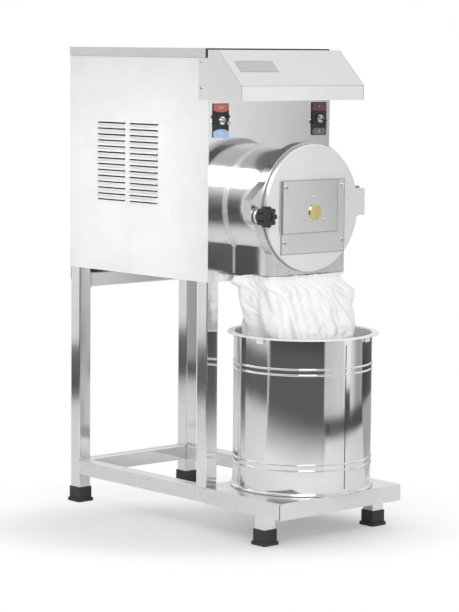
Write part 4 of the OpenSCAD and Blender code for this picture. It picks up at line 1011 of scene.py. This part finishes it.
def fix_plates():
    """The bare plate on the hood, and the switches' labels with their words."""
    plate = facing(at(*HOOD_PLATE_AT), HOOD_SLOPE)
    thin_plate("hood_plate", round_outline(HOOD_PLATE_WIDE, HOOD_PLATE_TALL, 2.5), 0.9, 1.8, 0.35, plate,
               plate_metal, "stand")
    corners = [(plate @ Vector((x * MM, y * MM, 0.5 * MM)), HOOD_SLOPE, 0)
               for x in (-PLATE_RIVET_X, PLATE_RIVET_X) for y in (-PLATE_RIVET_Y, PLATE_RIVET_Y)]
    fit(RIVET, "plate_rivets", corners, 1.5, 1.0, bright_screw, "stand", "polished_steel")
    left, right = middle("switch_plate_left").x / MM, middle("switch_plate_right").x / MM
    low, high = heights("switch_plate_left")
    labels = [("label_left_top", left, high - 9.5, bowed_outline(43.6, 18.6, 5, False), red_film, "OFF"),
              ("label_left_foot", left, low + 9.0, bowed_outline(43.6, 17.6, 5, True), blue_film, "ON"),
              ("label_right_top", right, high - 9.8, round_outline(42.5, 18, 3), plum_film, "I"),
              ("label_right_foot", right, low + 8.5, round_outline(40, 14, 6), olive_film, "O")]
    letters = bmesh.new()
    for name, x, z, outline, film, text in labels:
        thin_plate(name, outline, LABEL_THICK, 0, 0, facing(at(x, PLATE_V, z), FRONT), film,
                   "stand")
        word = word_mesh(text, WORD_TALL)
        word.transform(facing(at(x, PLATE_V + WORD_LIFT, z), FRONT))
        letters.from_mesh(word)
        bpy.data.meshes.remove(word)
    mesh = bpy.data.meshes.new("label_words")
    letters.to_mesh(mesh)
    letters.free()
    new_piece("label_words", mesh, white_film, "stand")


fix_plates()


# Floor, studio and camera

CAMERA_TURN = math.radians(42.2)
CAMERA_TILT = math.radians(6.41)
CAMERA_ROLL = math.radians(0.52)
CAMERA_AWAY = 5.15087
CAMERA_RIGHT, CAMERA_UP = 0.00483, -0.08729
FOCUS_PIXELS, PICTURE_PIXELS = 2337.35, 612
SENSOR = 36.0
AIM = Vector((0.002, REAR_Y - 0.330, 0.550))

FLOOR_R = 5.0
# The pool of shadow that the floor keeps: its shift towards the camera and to the left, and its flatness
SHADOW_NEAR = 0.16
SHADOW_LEFT = 0.06
SHADOW_FLAT = 3.0

BAND_STEPS = 24
CLOTH_Z = 0.004
WORLD_LIGHT = 0.60

# Drapes and screens: start and end azimuth in degrees, reach, foot and top in metres, and the greys at
# the start, the end and the top
DRAPES = {
    "drape_camera_side": (-96, -8, 3.2, -0.2, 1.85, 0.075, 0.065, 0.75),
    "screen_front": (-8, 23, 2.0, 0.0, 1.85, 0.58, 0.68, 0.8),
    "screen_front_mid": (23, 32, 2.05, 0.0, 1.9, 0.90, 0.92, 0.75),
    "screen_front_right": (32, 52, 2.05, 0.0, 1.9, 0.92, 0.36, 0.70),
    "screen_front_end": (52, 64, 2.05, 0.0, 1.9, 0.36, 0.42, 0.70),
    "drape_back_low": (96, 176, 2.6, -0.1, 0.80, 0.66, 0.66, 0.85),
    "drape_front_low": (24, 37, 1.97, 0.0, 0.08, 0.07, 0.07, 0.10),
    "drape_right_low": (64, 112, 2.0, -0.2, 0.40, 0.06, 0.12, 0.2),
    "screen_above": (-75, 45, 3.4, 1.85, 4.6, 0.62, 0.60, 0.46),
    "drape_left_low": (-160, -96, 1.92, -0.2, 0.16, 0.09, 0.09, 0.14),
    "screen_left": (-176, -96, 2.9, -0.2, 2.2, 0.74, 0.80, 0.85),
}
# Cloths on the floor: start and end azimuth, near and far edge, where the fade ends, and its two greys
CLOTHS = {
    "cloth_camera_side": (-94, -6, 1.0, 3.2, 1.95, 0.85, 0.115),
    "cloth_front": (-6, 66, 1.56, 2.05, 1.68, 0.6, 0.07),
    "cloth_right": (66, 125, 0.75, 2.0, 1.3, 0.52, 0.40),
}
# Lamps: azimuth and height in degrees, distance, what they face, size and power
LAMPS = {
    "lamp_front": (-32, 32, 3.4, (0, 0, 0.7), (1.5, 1.1), 27),
    "lamp_low": (-42, 9, 3.6, (0, 0, 0.5), (1.4, 0.8), 20),
    "lamp_left": (-90, 0, 0.9, (-0.178, REAR_Y - 0.19, 0.72), (0.5, 0.48), 0.25),
    "lamp_above": (150, 70, 3.0, (0, 0, 0.6), (2.0, 2.0), 8),
}
LEFT_SPREAD = math.radians(24)


def stand_camera():
    """The camera at the photograph's place."""
    ahead = Vector((math.sin(CAMERA_TURN) * math.cos(CAMERA_TILT),
                    math.cos(CAMERA_TURN) * math.cos(CAMERA_TILT), -math.sin(CAMERA_TILT)))
    level = Vector((math.cos(CAMERA_TURN), -math.sin(CAMERA_TURN), 0))
    rise = level.cross(ahead)
    right = math.cos(CAMERA_ROLL) * level + math.sin(CAMERA_ROLL) * rise
    up = -math.sin(CAMERA_ROLL) * level + math.cos(CAMERA_ROLL) * rise
    place = AIM + CAMERA_RIGHT * right + CAMERA_UP * up - CAMERA_AWAY * ahead
    data = bpy.data.cameras.new("camera")
    data.sensor_width = SENSOR
    data.lens = FOCUS_PIXELS / PICTURE_PIXELS * SENSOR
    data.clip_end = 100.0
    camera = placed("camera", data)
    camera.matrix_world = Matrix.Translation(place) @ Matrix((right, up, -ahead)).transposed().to_4x4()
    bpy.context.scene.camera = camera


def lay_floor():
    """A white paper floor that takes the shadow near the mill and runs out to plain white.

    In the metal it greys with distance."""
    shaper = bmesh.new()
    bmesh.ops.create_circle(shaper, cap_ends=True, segments=128, radius=FLOOR_R)
    mesh = bpy.data.meshes.new("floor")
    shaper.to_mesh(mesh)
    shaper.free()
    floor = placed("floor", mesh)
    finish = Finish("floor_paper", Roughness=0.85, Specular_IOR_Level=0.1)
    fibre = finish.grain(400.0)
    away = finish.length(finish.here())
    paper = finish.mix(fibre, rgb(0.93, 0.93, 0.93), rgb(0.95, 0.95, 0.95))
    finish.wear("Base Color", finish.mix(finish.span(away, 1.2, 3.4), paper, rgb(0.50, 0.50, 0.50)))
    white = finish.add("ShaderNodeEmission", None, {"Color": WHITE, "Strength": 1.0})
    seen = finish.add("ShaderNodeLightPath", out="Is Camera Ray")
    x, y, _ = finish.axes(finish.here())
    across = x * math.cos(CAMERA_TURN) - y * math.sin(CAMERA_TURN) + SHADOW_LEFT
    ahead = x * math.sin(CAMERA_TURN) + y * math.cos(CAMERA_TURN) + SHADOW_NEAR
    pool = (across * across + ahead * ahead * SHADOW_FLAT) ** 0.5
    share = seen * finish.span(pool, 0.28, 0.62, 0.26, 1.0) * finish.span(away, 0.30, 0.62, 0.76, 1.0)
    finish.show(finish.add("ShaderNodeMixShader", None,
                           {0: share, 1: Wire(finish, finish.shader.outputs[0]), 2: white}))
    mesh.materials.append(finish.material)


def hang_band(name, start, end, edges, grey_of):
    """A glowing band between two azimuths and two edges, each a reach and a height, seen in metal alone."""
    shaper = bmesh.new()
    rows = []
    for step in range(BAND_STEPS + 1):
        turn = math.radians(start + (end - start) * step / BAND_STEPS)
        out = Vector((math.sin(turn), -math.cos(turn), 0))
        rows.append([shaper.verts.new(out * reach + Vector((0, 0, height))) for reach, height in edges])
    for left, right in zip(rows, rows[1:]):
        shaper.faces.new([left[0], right[0], right[1], left[1]])
    mesh = bpy.data.meshes.new(name)
    shaper.to_mesh(mesh)
    shaper.free()
    finish = Finish(name + "_cloth")
    tone = finish.mix(grey_of(finish), BLACK, WHITE)
    finish.show(finish.add("ShaderNodeEmission", None, {"Color": tone}))
    mesh.materials.append(finish.material)
    band = placed(name, mesh)
    band.visible_camera = False
    band.visible_diffuse = False
    band.visible_shadow = False


def hang_drape(name, start, end, reach, low, high, tone, end_tone, top_tone):
    """A curved grey drape or screen round the mill, for the polished metal to mirror."""

    def grey_of(finish):
        x, y, height = finish.axes(finish.here())
        turn = x.math("ARCTAN2", x, 0 - y)
        grey = finish.span(turn, math.radians(start), math.radians(end), tone, end_tone)
        rise = finish.span(height, low + (high - low) * 0.5, high)
        folds = finish.grain(5.0)
        return (grey + rise * (top_tone - grey)) * (0.9 + folds * 0.2)

    hang_band(name, start, end, ((reach, low), (reach, high)), grey_of)


def lay_cloth(name, start, end, near, far, fade, tone, far_tone):
    """A dark cloth on the floor round the mill, fading from its near edge, for the drum to mirror."""

    def grey_of(finish):
        return finish.span(finish.length(finish.here()), near, fade, tone, far_tone)

    hang_band(name, start, end, ((near, CLOTH_Z), (far, CLOTH_Z)), grey_of)


def lamp_panel(name, turn, rise, reach, aim, size, power):
    """A square lamp at an azimuth and a height, facing a place; the camera doesn't see it."""
    turn, rise = math.radians(turn), math.radians(rise)
    aim = Vector(aim)
    away = Vector((math.sin(turn) * math.cos(rise), -math.cos(turn) * math.cos(rise), math.sin(rise)))
    place = aim + reach * away
    data = bpy.data.lights.new(name, "AREA")
    data.shape = "RECTANGLE"
    data.size, data.size_y = size
    data.energy = power
    lamp = placed(name, data)
    lamp.matrix_world = facing(place, place - aim)
    lamp.visible_camera = False
    return lamp


def light_studio():
    """A white room, two lamps at the camera's side, a narrow one at the left panel and one overhead."""
    world = bpy.data.worlds.new("studio")
    bpy.context.scene.world = world
    world.use_nodes = True
    nodes = Nodes(world.node_tree)
    back = world.node_tree.nodes["Background"]
    glossy, through, camera = (nodes.add("ShaderNodeLightPath", out=ray) for ray in (
        "Is Glossy Ray", "Is Transmission Ray", "Is Camera Ray"))
    seen = camera.math("MAXIMUM", glossy.math("MAXIMUM", glossy, through), camera)
    nodes.feed(back.inputs["Color"], WHITE)
    nodes.feed(back.inputs["Strength"], WORLD_LIGHT + seen * (1.0 - WORLD_LIGHT))
    lamps = {name: lamp_panel(name, *row) for name, row in LAMPS.items()}
    lamps["lamp_left"].visible_glossy = False
    lamps["lamp_left"].data.spread = LEFT_SPREAD
    lamps["lamp_above"].visible_glossy = False


stand_camera()
lay_floor()
for name, row in DRAPES.items():
    hang_drape(name, *row)
for name, row in CLOTHS.items():
    lay_cloth(name, *row)
light_studio()
bpy.context.scene.view_settings.view_transform = "Standard"
